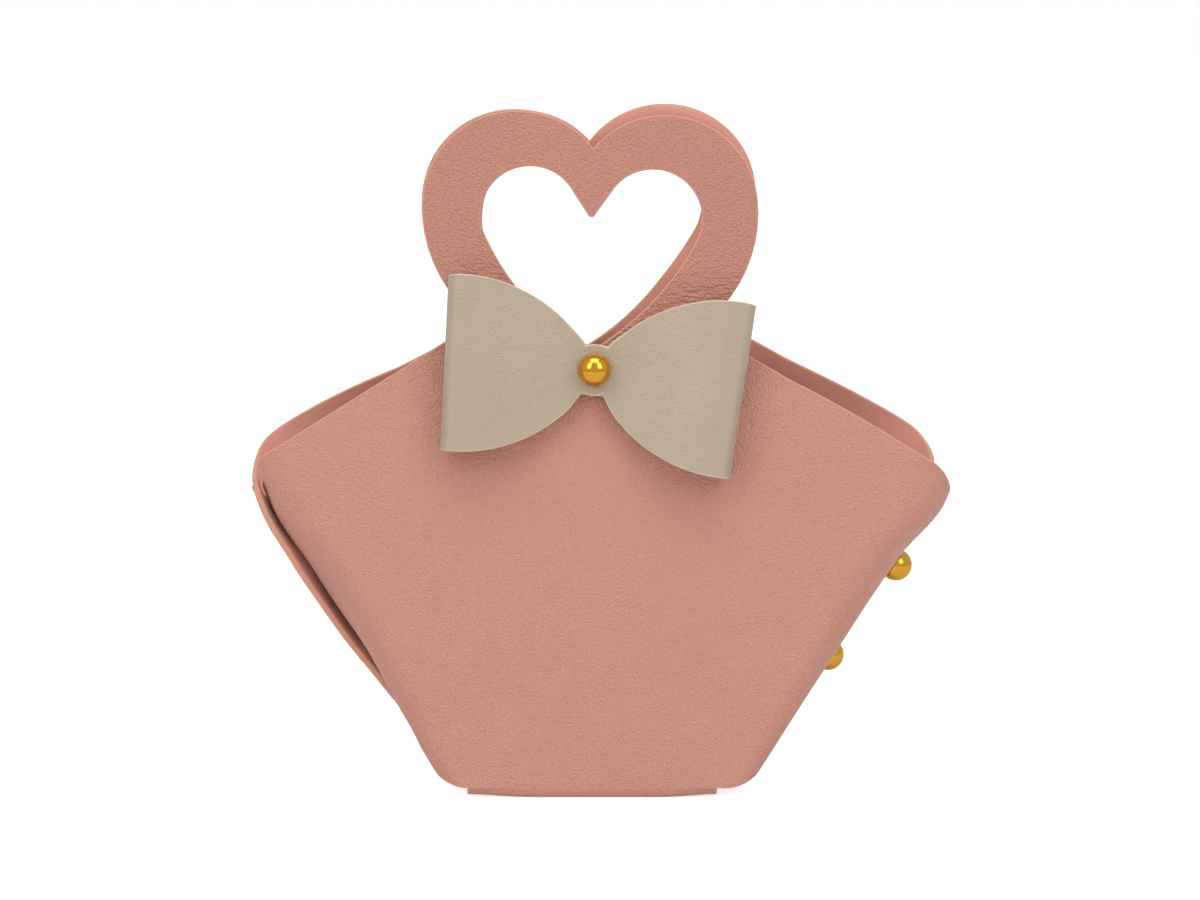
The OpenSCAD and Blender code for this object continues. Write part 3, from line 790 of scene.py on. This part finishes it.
class Nodes:
    """The nodes of a material or of the world, laid out in rows as they are added."""

    COLUMNS = 6

    def __init__(self, owner):
        owner.use_nodes = True
        self.tree = owner.node_tree

    def plug(self, socket, value):
        """Links a socket to another one, or sets its value."""
        if isinstance(value, bpy.types.NodeSocket):
            self.tree.links.new(value, socket)
        else:
            socket.default_value = value

    def set(self, name, **inputs):
        """Links or sets inputs of a node that is there already."""
        for key, value in inputs.items():
            self.plug(self.tree.nodes[name].inputs[key.replace("_", " ")], value)

    def add(self, kind, output, *values, options=(), **inputs):
        """The output of a new node, with its options set and its inputs filled in order or by name."""
        row, column = divmod(len(self.tree.nodes), self.COLUMNS)
        node = self.tree.nodes.new("ShaderNode" + kind)
        node.location = (220 * column - 1600, -320 * row)
        for key, value in dict(options).items():
            setattr(node, key, value)
        for socket, value in zip(node.inputs, values):
            self.plug(socket, value)
        self.set(node.name, **inputs)
        return node.outputs[output]

    def math(self, operation, *values):
        """Result of a calculation."""
        return self.add("Math", "Value", *values, options={"operation": operation})

    def weighted(self, first, first_share, second, second_share):
        """Sum of two values, each times its share."""
        return self.math("ADD", self.math("MULTIPLY", first, first_share),
                         self.math("MULTIPLY", second, second_share))

    def rising(self, value, low, high):
        """Share of 0 to 1 that rises softly between two values."""
        return self.add("MapRange", "Result", options={"interpolation_type": "SMOOTHSTEP"}, Value=value,
                        From_Min=low, From_Max=high, To_Min=0.0, To_Max=1.0)

    def pattern(self, scale, from_map=True):
        """Pattern coordinates at a scale per metre along each axis, from the flat map or the object."""
        unit = MAP_UNIT * MM if from_map else 1
        place = self.add("TexCoord", "UV" if from_map else "Object")
        return self.add("Mapping", "Vector", Vector=place, Scale=tuple(unit * s for s in scale))

    def noise(self, place, detail, **more):
        """Cloudy pattern at a place."""
        return self.add("TexNoise", "Fac", Vector=place, Detail=detail, **{"Scale": 1.0, **more})

    def ramp(self, value, *stops):
        """Colour from a value, over stops of a position and a colour or grey."""
        colour = self.add("ValToRGB", "Color", Fac=value)
        elements = colour.node.color_ramp.elements
        while len(elements) < len(stops):
            elements.new(0.5)
        for element, (position, tone) in zip(elements, stops):
            element.position = position
            element.color = (*tone, 1) if isinstance(tone, tuple) else (tone, tone, tone, 1)
        return colour

    def multiplied(self, first, second):
        """Two colours multiplied."""
        options = {"data_type": "RGBA", "blend_type": "MULTIPLY"}
        return self.add("Mix", "Result", options=options, Factor=1.0, A=first, B=second)

    def bump(self, strength, depth, height):
        """Normal of a relief."""
        return self.add("Bump", "Normal", Strength=strength, Distance=depth, Height=height)


def shade(base, factor):
    """A colour made lighter or darker."""
    return tuple(min(1.0, c * factor) for c in base)


def leather_finish(nodes, base):
    """Pebbled grain side of coated leather, with fine creases on the handles' lower arms, painted shade on
    the sheet's upper part and painted glints on the pebbles' tops.
    """
    fine = nodes.pattern((LEATHER_GRAIN,) * 3)
    pebble = nodes.add("TexVoronoi", "Distance", Vector=fine, Scale=1.0, Randomness=1.0)
    grain = nodes.noise(fine, 2.0, Scale=1.3, Roughness=0.6)
    cloud = nodes.noise(nodes.pattern((60, 60, 60)), 2.0)
    crease = nodes.noise(nodes.pattern((420, 1500, 1000)), 3.0, Distortion=0.6)
    up = nodes.add("SeparateXYZ", "Y", Vector=nodes.add("TexCoord", "UV"))
    on_arm = nodes.math("MULTIPLY", nodes.rising(up, 1.0, 0.9), nodes.rising(up, 0.72, 0.84))
    creases = nodes.math("MULTIPLY", nodes.math("MULTIPLY", crease, on_arm), 3.2)
    height = nodes.math("ADD", nodes.weighted(pebble, -0.9, grain, 0.45), creases)
    speckle = nodes.math("MULTIPLY_ADD", pebble, -0.45, grain)
    # Random grain tone, with the raised pebbles' tops painted lighter as painted glints
    mottle_and_glint = nodes.ramp(speckle, (0.1, shade(base, 0.96)), (0.28, base), (0.55, shade(base, 1.09)))
    clouded = nodes.ramp(cloud, (0.3, 0.965), (0.7, 1))
    # Painted shade: from about 75 mm up the flat sheet, the handles are darkened in the colour
    painted_handle_shade = nodes.ramp(nodes.math("MULTIPLY", up, 0.8), (0.6, WHITE), (0.74, (0.88, 0.84, 0.83)))
    nodes.set("Principled BSDF", Base_Color=nodes.multiplied(nodes.multiplied(mottle_and_glint, clouded), painted_handle_shade),
              Roughness=nodes.ramp(pebble, (0.1, 0.27), (0.8, 0.46)),
              Normal=nodes.bump(1.0, LEATHER_RELIEF, height),
              Specular_IOR_Level=0.5, Sheen_Weight=0.12, Sheen_Roughness=0.4)


def nap_finish(nodes, base, contrast):
    """Short napped flesh side, or the fibres of a cut edge."""
    nap = nodes.noise(nodes.pattern((2600, 1900, 2200), from_map=False), 5.0, Roughness=0.75)
    brushed = nodes.noise(nodes.pattern((150, 150, 150), from_map=False), 2.0)
    both = nodes.weighted(nap, 0.7, brushed, 0.3)
    dark, light = shade(base, 1 - contrast), shade(base, 1 + contrast)
    nodes.set("Principled BSDF", Roughness=0.9, Specular_IOR_Level=0.2, Sheen_Weight=0.3,
              Base_Color=nodes.ramp(both, (0.3, dark), (0.7, light)),
              Normal=nodes.bump(0.7, NAP_RELIEF, nap))


def pearl_finish(nodes, base):
    """Pearly coated strip with a fine dotted grain and a satin shine."""
    dots = nodes.pattern((PEARL_GRAIN,) * 3)
    dotted = nodes.add("TexVoronoi", "Distance", Vector=dots, Scale=0.75, Randomness=0.9)
    grain = nodes.noise(dots, 3.0, Scale=0.9)
    cloud = nodes.noise(nodes.pattern((80, 80, 80)), 2.0)
    both = nodes.weighted(grain, 0.6, cloud, 0.4)
    nodes.set("Principled BSDF", Metallic=0.25, Specular_IOR_Level=0.45, Sheen_Weight=0.2,
              Base_Color=nodes.ramp(both, (0.3, shade(base, 0.92)), (0.5, base), (0.7, shade(base, 1.08))),
              Roughness=nodes.ramp(dotted, (0.1, 0.4), (0.7, 0.52)),
              Normal=nodes.bump(1.0, PEARL_RELIEF, nodes.weighted(dotted, -0.8, grain, 0.5)))


def gold_finish(nodes, base):
    """Polished gold plating with faint handling marks."""
    scuffs = nodes.noise(nodes.pattern((900, 900, 3000), from_map=False), 4.0, Roughness=0.7)
    nodes.set("Principled BSDF", Metallic=1.0,
              Base_Color=nodes.ramp(scuffs, (0.3, shade(base, 0.94)), (0.7, shade(base, 1.04))),
              Roughness=nodes.ramp(scuffs, (0.35, 0.07), (0.75, 0.17)),
              Normal=nodes.bump(0.04, GOLD_RELIEF, scuffs))


FINISHES = {"leather": leather_finish, "pearl": pearl_finish, "gold": gold_finish}


def finish_of(kind):
    """A finish by its name, made once."""
    name = "handbag_" + kind
    if name not in bpy.data.materials:
        nodes = Nodes(bpy.data.materials.new(name))
        base = tuple(getattr(bpy.context.scene.handbag_finish, kind))
        if kind in NAP_CONTRAST:
            nap_finish(nodes, base, NAP_CONTRAST[kind])
        else:
            FINISHES[kind](nodes, base)
    return bpy.data.materials[name]


def finishes_of(*kinds):
    """Finishes of a piece: one alone, or those of its outer face, its inner face and its cut edge."""
    return [finish_of(kind) for kind in kinds]


# Pieces


def slice_bends(bm, half):
    """Cuts mesh lines along the fold of the base and along both side bends of a flat half sheet."""
    slice_flat(bm, bm.faces[:], (0, half.fold_run), (0, 1))
    for i in range(1, FOLD_LINES + 1):
        slice_flat(bm, [f for f in bm.faces if f.calc_center_median().y < half.fold_run],
                   (0, half.fold_run - half.fold_length * i / FOLD_LINES), (0, 1))
    for side, bend in ((1, half.right), (-1, half.left)):
        for i in range(BEND_LINES + 1):
            turn = bend.ruling_turn - bend.flat_sector * i / BEND_LINES
            faces = []
            for f in bm.faces:
                middle = f.calc_center_median()
                beside = middle.y > half.fold_run - BEND_LINES_DROP and middle.x * side > BEND_LINES_X
                if beside and max(abs(v.co.x) for v in f.verts) > half.tongue + 2 * TOUCH:
                    faces.append(f)
            slice_flat(bm, faces, (bend.flat_apex.x * side, bend.flat_apex.y),
                       (-math.sin(turn) * side, math.cos(turn)))


def cut_half_sheet(size, half, facing, bow_height=0):
    """Cuts, thickens and folds one half of the sheet, as the front one, in millimetres.

    facing is 1 for the front, and -1 for the back, which is turned half round afterwards."""
    bm = flat_sheet(*half.halves())
    rim = add_rim(bm, size.cut_rim)
    for v in bm.verts:
        if v.co.y < half.seam_u + size.cut_rim and abs(v.co.x) < half.tongue - size.cut_rim:
            v[rim] = 0
    slice_bends(bm, half)
    slice_grid(bm, size.mesh_step)
    studs = millimetres(bpy.context.scene.handbag_studs)
    holes = []
    for z in (studs.upper_z, studs.lower_z):
        up_wall = z / math.sin(size.side_slope)
        outer = half.right.flat_from_side(up_wall, 0)
        inner = half.left.flat_from_side(up_wall, 0)
        holes += [outer, (-inner.x, inner.y)]
    if bow_height:
        holes.append((0, bow_height))
    for centre in holes:
        punch(bm, centre, size.stud_hole / 2)
    thicken(bm, rim, size)
    for v in bm.verts:
        x, u, w = v.co
        spot, out = half.place((x, u))
        seen = Vector((spot.x * facing, spot.y * facing, spot.z))
        shift = half.settle(seen, Vector((out.x * facing, out.y * facing, out.z)), x > 0, studs)
        if facing < 0:
            shift -= size.back_bulge * passing(u, BACK_BULGE_U)
        aside = half.sideways(seen, facing) * (1 if x > 0 else -1)
        v.co = spot + out * (w + shift) + aside * ACROSS
    return bm


class HANDBAG_OT_front_sheet(bpy.types.Operator):
    """Front half of the folded leather sheet, with its heart handle, wings and half the base"""

    bl_idname = "handbag.front_sheet"
    bl_label = "Front sheet"

    def execute(self, context):
        size = millimetres(context.scene.handbag_sheet)
        bow = millimetres(context.scene.handbag_bow)
        half = HalfSheet(
            size, skew=(size.front_shift, 0, size.front_turn), lobe_shifts=(size.front_lobe_shift, 0),
            top_turns=(size.front_top_turn, 0), inner_fall=size.front_left_fall)
        bm = cut_half_sheet(size, half, facing=1, bow_height=bow.height)
        piece = finished(bm, "front_sheet", finishes_of("leather", "lining", "leather_edge"))
        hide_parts("front_panel", "front_flap", "base_panel")
        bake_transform(piece)
        return {"FINISHED"}


class HANDBAG_OT_back_sheet(bpy.types.Operator):
    """Back half of the folded leather sheet, turned half round, with its handle a little askew"""

    bl_idname = "handbag.back_sheet"
    bl_label = "Back sheet"

    def execute(self, context):
        size = millimetres(context.scene.handbag_sheet)
        half = HalfSheet(
            size, skew=(size.back_shift, size.back_lift, size.back_turn),
            lobe_shifts=(0, size.back_lobe_shift),
            top_turns=(size.back_shoulder_turn, size.back_right_turn), inner_fall=size.back_right_fall,
            opening_shift=(size.back_opening_shift, -size.back_opening_drop), lift=size.wing_lift)
        bm = cut_half_sheet(size, half, facing=-1)
        half_round = Matrix.Rotation(math.pi, 4, "Z")
        piece = finished(bm, "back_sheet", finishes_of("leather", "lining", "leather_edge"), half_round)
        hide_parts("back_panel", "back_flap")
        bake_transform(piece)
        return {"FINISHED"}


def looked_up(table, value):
    """Second value of a rising table of pairs, where the first one has a given value."""
    for (low, first), (high, second) in zip(table, table[1:]):
        if value <= high:
            return first + (second - first) * (value - low) / (high - low)
    return table[-1][1]


class BowStrip:
    """The bow's strip: two loops whose ends pass under the middle disc."""

    TABLE_STEPS = 400
    DISC_STEPS = 6
    EDGE_STEPS = 26
    FOLD_STEPS = 8
    TAB_STEPS = 8
    # Share of the disc's radius at which the front layer begins to rise
    RISE_START_SHARE = 0.75
    # Lengths in millimetres: X from the stud outwards
    DROOP_X = (1.5, 4.5)
    TAB_CLIMB_X = 9
    TAB_CLIMB_RUN = 5
    SLOPE_STEP = 0.2
    WAIST_STEP = 0.3
    END_NARROWING = 0.25
    TAB_NARROWING = 0.5

    def __init__(self, size):
        self.size = size
        self.fold_x = size.loop_length - size.fold_reach
        self.disc_r = size.disc / 2
        self.stack = 3 * size.thickness
        self.waist_x = size.edge_x - math.sqrt(
            size.edge_radius ** 2 - (size.loop_waist - size.loop_half + size.edge_radius) ** 2)
        self.table = [(0.0, 0.0)]
        for i in range(1, self.TABLE_STEPS + 1):
            x = self.fold_x * i / self.TABLE_STEPS
            last_a, last_x = self.table[-1]
            rise = self.top(x) - self.top(last_x)
            self.table.append((last_a + math.hypot(x - last_x, rise), x))
        self.fold_a = self.table[-1][0]
        self.fold_length = math.pi * math.hypot(size.loop_depth / 2, size.fold_reach) / math.sqrt(2)
        self.back_a = self.fold_a + self.fold_length
        self.end_a = self.back_a + self.fold_x + size.tab

    def top(self, x):
        """Height of the front layer's outer face over the panel's side."""
        start = self.disc_r * self.RISE_START_SHARE
        share = max(0.0, min(1.0, (x - start) / (self.fold_x - start)))
        return self.stack + (self.size.loop_depth - self.stack) * (1 - math.cos(math.pi * share)) / 2

    def along(self, x):
        """Length along the front layer from the middle to a place x."""
        return looked_up([(x, a) for a, x in self.table], x)

    def edge(self, x):
        """Half height of a loop at a place x."""
        size = self.size
        return size.loop_half - size.edge_radius + math.sqrt(size.edge_radius ** 2 - (x - size.edge_x) ** 2)

    def quarter(self):
        """Outline of the upper right quarter, from over the stud along the front layer to the end."""
        size = self.size
        steps = self.EDGE_STEPS
        meet = math.acos(min(1.0, (self.waist_x - self.WAIST_STEP) / self.disc_r))
        points = arc((0, 0), self.disc_r, math.pi / 2, meet, self.DISC_STEPS)
        for i in range(steps + 1):
            x = self.waist_x + (self.fold_x - self.waist_x) * i / steps
            points.append(Vector((self.along(x), self.edge(x))))
        for i in range(1, self.FOLD_STEPS + 1):
            x = self.fold_x + size.fold_reach * math.sin(math.pi * i / self.FOLD_STEPS)
            points.append(Vector((self.fold_a + self.fold_length * i / self.FOLD_STEPS, self.edge(x))))
        for i in range(1, steps + 1):
            x = self.fold_x - (self.fold_x - self.waist_x) * i / steps
            narrowed = self.edge(x) - self.END_NARROWING * i / steps
            points.append(Vector((self.back_a + self.fold_x - x, narrowed)))
        tab_r = size.loop_waist - self.TAB_NARROWING
        return points + arc((self.end_a - tab_r, 0), tab_r, math.pi / 2, 0, self.TAB_STEPS)

    def place(self, point):
        """Place of a flat point in the bow's own axes, and the outward direction there."""
        size = self.size
        a, y = point
        side = 1 if a >= 0 else -1
        a = abs(a)
        if a <= self.fold_a:
            x = looked_up(self.table, a)
            step = self.SLOPE_STEP
            slope = (self.top(x + step) - self.top(x - step)) / (2 * step)
            z = self.top(x)
            out = Vector((-slope, 0, 1)).normalized()
        elif a < self.back_a:
            turn = math.pi * (a - self.fold_a) / self.fold_length
            radius = size.loop_depth / 2
            x = self.fold_x + size.fold_reach * math.sin(turn)
            z = radius + radius * math.cos(turn)
            out = Vector((math.sin(turn) * radius, 0, math.cos(turn) * size.fold_reach)).normalized()
        else:
            x = self.fold_x - (a - self.back_a)
            climb = max(0.0, min(1.0, (self.TAB_CLIMB_X - x) / self.TAB_CLIMB_RUN))
            z = climb * (size.thickness if side > 0 else 0)
            out = DOWN
        droop = -size.droop * rising(x, self.DROOP_X)
        cos, sin = math.cos(droop), math.sin(droop)
        spot = Vector((side * (x * cos - y * sin), x * sin + y * cos, z))
        return spot, Vector((side * out.x * cos, out.x * sin, out.z))


def on_panel_matrix(sheet, height, rise):
    """Axes of something on the front panel, at a height along it and a rise off it, in millimetres."""
    bend = SideBend(sheet, sheet.side_foot)
    out = -bend.front_in
    centre = bend.origin + height * bend.front_up + rise * out
    return Matrix.Translation(centre) @ Matrix((ACROSS, bend.front_up, out)).transposed().to_4x4()


def on_side_matrix(sheet, z, side, press):
    """Axes of something on a side wall, at a height and pressed in, with the third axis outwards."""
    bend = SideBend(sheet, sheet.side_foot)
    out = -bend.side_in
    centre = Vector((bend.foot, 0, 0)) + z / math.sin(sheet.side_slope) * bend.side_up - press * out
    turn = Matrix.Identity(4) if side > 0 else Matrix.Rotation(math.pi, 4, "Z")
    return turn @ Matrix.Translation(centre) @ Matrix((BACKWARD, bend.side_up, out)).transposed().to_4x4()


class HANDBAG_OT_bow(bpy.types.Operator):
    """Bow of one pearly strip, looped to both sides and held in its middle"""

    bl_idname = "handbag.bow"
    bl_label = "Bow"

    def execute(self, context):
        size = millimetres(context.scene.handbag_bow)
        sheet = millimetres(context.scene.handbag_sheet)
        strip = BowStrip(size)
        quarter = strip.quarter()[::-1]
        upper = quarter + mirrored(quarter)[1:]
        lower = [Vector((p.x, -p.y)) for p in reversed(upper)][1:-1]
        bm = flat_sheet(upper + lower)
        bmesh.ops.recalc_face_normals(bm, faces=bm.faces[:])
        rim = add_rim(bm, size.cut_rim)
        slice_grid(bm, size.mesh_step)
        tab_middle = strip.back_a + strip.fold_x
        for a in (0, tab_middle, -tab_middle):
            punch(bm, (a, 0), sheet.stud_hole / 2)
        thicken(bm, rim, size)
        for v in bm.verts:
            a, y, w = v.co
            spot, out = strip.place((a, y))
            v.co = spot + out * w
        base = on_panel_matrix(sheet, size.height, size.gap) @ Matrix.Rotation(-size.tilt, 4, "Z")
        piece = finished(bm, "bow_strip", finishes_of("pearl", "lining", "pearl_edge"), base)
        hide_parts("bow")
        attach(piece, "bow")
        return {"FINISHED"}


def add_stud(name, node, body, axes, grip, size, chamfer=0.25, undercut=0.02):
    """A ball head with a flat seat and a neck through the layers below it."""
    bm = bmesh.new()
    bmesh.ops.create_uvsphere(
        bm, u_segments=BALL_SEGMENTS, v_segments=BALL_RINGS, radius=size.ball / 2)
    bmesh.ops.translate(bm, vec=(0, 0, size.rise), verts=bm.verts[:])
    bmesh.ops.bisect_plane(bm, geom=all_of(bm), plane_co=(0, 0, undercut), plane_no=(0, 0, 1),
                           clear_inner=True, dist=1e-4)
    ring = [e for e in bm.edges if e.is_boundary]
    seat = math.sqrt((size.ball / 2) ** 2 - size.rise ** 2)
    for radius, drop in ((seat - chamfer, undercut), (size.neck / 2, 0), (size.neck / 2, grip)):
        made = bmesh.ops.extrude_edge_only(bm, edges=ring)["geom"]
        verts = [g for g in made if isinstance(g, bmesh.types.BMVert)]
        ring = [g for g in made if isinstance(g, bmesh.types.BMEdge)]
        for v in verts:
            flat = Vector((v.co.x, v.co.y, 0)).normalized() * radius
            v.co = Vector((flat.x, flat.y, v.co.z - drop))
    bmesh.ops.contextual_create(bm, geom=ring)
    bmesh.ops.recalc_face_normals(bm, faces=bm.faces[:])
    for f in bm.faces:
        f.smooth = f.calc_center_median().z > 1.5 * undercut
    piece = finished(bm, name, finishes_of("gold"), axes)
    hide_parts(node)
    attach(piece, body)


def raise_faces(bm, faces, height, keep):
    """Raises faces by a height, with walls round them, and keeps the faces below as well if asked."""
    made = bmesh.ops.extrude_face_region(bm, geom=faces, use_keep_orig=keep)["geom"]
    bmesh.ops.translate(bm, vec=(0, 0, height), verts=[g for g in made if isinstance(g, bmesh.types.BMVert)])


def add_screw(name, node, body, axes, grip, size, rounding=0.16):
    """A flat screw head with a driver slot and a rounded rim, on the layers' inner side."""
    bm = bmesh.new()
    bmesh.ops.create_circle(bm, cap_ends=True, segments=HEAD_SEGMENTS, radius=size.head / 2)
    low = size.head_height - size.slot_depth
    raise_faces(bm, bm.faces[:], low, True)
    for side in (1, -1):
        bmesh.ops.bisect_plane(bm, geom=all_of(bm), dist=1e-4, plane_co=(0, side * size.slot_width / 2, 0),
                               plane_no=(0, 1, 0))
    tops = []
    for f in bm.faces:
        middle = f.calc_center_median()
        if middle.z > low - MERGE and abs(middle.y) > size.slot_width / 2:
            tops.append(f)
    raise_faces(bm, tops, size.slot_depth, False)
    bmesh.ops.remove_doubles(bm, verts=bm.verts[:], dist=1e-3)
    bmesh.ops.recalc_face_normals(bm, faces=bm.faces[:])
    rims = [e for e in bm.edges if len(e.link_faces) == 2 and e.calc_face_angle() > ROUNDED_ANGLE
            and min(v.co.z for v in e.verts) > size.head_height - MERGE]
    bmesh.ops.bevel(bm, geom=rims, offset=rounding, offset_type="OFFSET", segments=3, profile=0.5,
                    affect="EDGES", clamp_overlap=True, material=-1)
    for e in bm.edges:
        e.smooth = len(e.link_faces) != 2 or e.calc_face_angle(0) < SHARP_ANGLE
    for f in bm.faces:
        f.smooth = True
    inward = axes @ Matrix.Translation((0, 0, -grip)) @ Matrix.Rotation(math.pi, 4, "X")
    piece = finished(bm, name, finishes_of("gold"), inward)
    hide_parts(node)
    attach(piece, body)


def stud_places(scene):
    """Name stem, body, axes of the seat and grip of each stud."""
    sheet = millimetres(scene.handbag_sheet)
    bow = millimetres(scene.handbag_bow)
    size = millimetres(scene.handbag_studs)
    stack = 3 * bow.thickness + 2 * bow.gap
    places = [("bow", "front_flap", on_panel_matrix(sheet, bow.height, stack), stack + sheet.thickness)]
    grip = 2 * sheet.thickness + sheet.layer_gap
    for side, side_name, press in ((1, "right", size.right_press), (-1, "left", size.left_press)):
        for z, z_name in ((size.upper_z, "upper"), (size.lower_z, "lower")):
            bulge = wall_bulge(size, z) if side > 0 else 0
            axes = on_side_matrix(sheet, z + BULGE_RISE_SHARE * bulge, side, press - bulge)
            places.append((f"{side_name}_{z_name}", "bag", axes, grip))
    return places


class HANDBAG_OT_ball_studs(bpy.types.Operator):
    """Five polished ball studs, one on the bow and two at each side"""

    bl_idname = "handbag.ball_studs"
    bl_label = "Ball studs"

    def execute(self, context):
        size = millimetres(context.scene.handbag_studs)
        for stem, body, axes, grip in stud_places(context.scene):
            add_stud(stem + "_ball", stem + "_stud", body, axes, grip, size)
        return {"FINISHED"}


class HANDBAG_OT_stud_screws(bpy.types.Operator):
    """Five flat slotted screws inside the bag, one for each stud"""

    bl_idname = "handbag.stud_screws"
    bl_label = "Stud screws"

    def execute(self, context):
        size = millimetres(context.scene.handbag_studs)
        for stem, body, axes, grip in stud_places(context.scene):
            add_screw(stem + "_slotted_head", stem + "_screw", body, axes, grip, size)
        return {"FINISHED"}


def floor_finish():
    """White floor that keeps the bag's shadow and looks white to the camera."""
    material = bpy.data.materials.new("floor_white")
    nodes = Nodes(material)
    nodes.set("Principled BSDF", Base_Color=(0.93, 0.93, 0.93, 1), Roughness=0.9, Specular_IOR_Level=0.1)
    lift = bpy.context.scene.handbag_stage.floor_lift
    strength = nodes.math("MULTIPLY", nodes.add("LightPath", "Is Camera Ray"), lift)
    glow = nodes.add("Emission", "Emission", Color=(*WHITE, 1), Strength=strength)
    shaded = nodes.tree.nodes["Principled BSDF"].outputs["BSDF"]
    nodes.set("Material Output", Surface=nodes.add("AddShader", "Shader", shaded, glow))
    return material


def add_surround(scene, sky):
    """A world that looks white to the camera, and lights the pieces and mirrors in them less brightly."""
    scene.world = bpy.data.worlds.new("white_surround")
    nodes = Nodes(scene.world)
    mirrored_share = nodes.math("MULTIPLY", nodes.add("LightPath", "Is Glossy Ray"), MIRROR_SHARE)
    either = nodes.math("MAXIMUM", nodes.add("LightPath", "Is Camera Ray"), mirrored_share)
    seen = nodes.math("MULTIPLY", either, 1 - sky)
    nodes.set("Background", Color=(*WHITE, 1), Strength=nodes.math("ADD", seen, sky))


def add_lamp(name, place, aim, size, power):
    """A large soft rectangular lamp that faces the bag."""
    light = bpy.data.lights.new(name, "AREA")
    light.shape = "RECTANGLE"
    light.size, light.size_y = size
    light.energy = power
    lamp = bpy.data.objects.new(name, light)
    lamp.location = place
    lamp.rotation_euler = (Vector(aim) - Vector(place)).to_track_quat("-Z", "Y").to_euler()
    bpy.context.scene.collection.objects.link(lamp)


def add_camera(scene, stage, aim):
    """The camera of the photograph's view, aimed at a point."""
    data = bpy.data.cameras.new("photo_view")
    data.lens = stage.lens
    data.sensor_width = SENSOR_WIDTH
    data.shift_x = stage.shift_x
    data.shift_y = stage.shift_y
    data.clip_start = CAMERA_NEAR
    data.clip_end = CAMERA_FAR
    camera = bpy.data.objects.new("photo_view", data)
    rise, turn = stage.camera_rise, stage.camera_turn
    level = math.cos(rise)
    back_off = Vector((math.sin(turn) * level, -math.cos(turn) * level, math.sin(rise)))
    camera.location = aim + back_off * stage.camera_distance
    camera.rotation_euler = (-back_off).to_track_quat("-Z", "Y").to_euler()
    scene.collection.objects.link(camera)
    scene.camera = camera


class HANDBAG_OT_stage(bpy.types.Operator):
    """White floor and surround, soft lamps and the camera of the photograph's view"""

    bl_idname = "handbag.stage"
    bl_label = "Stage"

    def execute(self, context):
        scene = context.scene
        stage = scene.handbag_stage
        bm = bmesh.new()
        bmesh.ops.create_grid(bm, x_segments=2, y_segments=2, size=stage.floor_size / 2 / MM)
        bmesh.ops.translate(bm, vec=(0, 0, -FLOOR_DROP / MM), verts=bm.verts[:])
        floor = finished(bm, "floor", [floor_finish()])
        add_surround(scene, stage.sky)
        aim = Vector((0, 0, stage.aim_height))
        for name, place, size, power in LAMPS:
            add_lamp(name, place, aim, size, getattr(stage, power))
        add_camera(scene, stage, aim)
        scene.view_settings.view_transform = "Standard"
        return {"FINISHED"}


class HANDBAG_PT_pieces(bpy.types.Panel):
    """Sizes and pieces of the handbag."""

    bl_label = "Handbag"
    bl_idname = "HANDBAG_PT_pieces"
    bl_space_type = "VIEW_3D"
    bl_region_type = "UI"
    bl_category = "Handbag"

    def draw(self, context):
        layout = self.layout
        for group in GROUPS:
            box = layout.box()
            settings = getattr(context.scene, group)
            for name in settings.bl_rna.properties.keys():
                if name not in ("rna_type", "name"):
                    box.prop(settings, name)
        for operator in OPERATORS:
            layout.operator(operator.bl_idname)


GROUPS = {
    "handbag_sheet": HandbagSheetSettings,
    "handbag_bow": HandbagBowSettings,
    "handbag_studs": HandbagStudSettings,
    "handbag_finish": HandbagFinishSettings,
    "handbag_stage": HandbagStageSettings,
}
OPERATORS = (
    HANDBAG_OT_front_sheet,
    HANDBAG_OT_back_sheet,
    HANDBAG_OT_bow,
    HANDBAG_OT_ball_studs,
    HANDBAG_OT_stud_screws,
    HANDBAG_OT_stage,
)


def register():
    """Registers the groups of settings, the operators and the panel."""
    for group in GROUPS.values():
        bpy.utils.register_class(group)
    for name, group in GROUPS.items():
        setattr(bpy.types.Scene, name, bpy.props.PointerProperty(type=group))
    for operator in OPERATORS:
        bpy.utils.register_class(operator)
    bpy.utils.register_class(HANDBAG_PT_pieces)


def unregister():
    """Takes back what register has done, in reverse."""
    bpy.utils.unregister_class(HANDBAG_PT_pieces)
    for operator in reversed(OPERATORS):
        bpy.utils.unregister_class(operator)
    for name, group in GROUPS.items():
        delattr(bpy.types.Scene, name)
        bpy.utils.unregister_class(group)


def main():
    """Builds the pieces and the stage."""
    register()
    bpy.ops.handbag.front_sheet()
    bpy.ops.handbag.back_sheet()
    bpy.ops.handbag.bow()
    bpy.ops.handbag.ball_studs()
    bpy.ops.handbag.stud_screws()
    bpy.ops.handbag.stage()


if __name__ == "__main__":
    main()
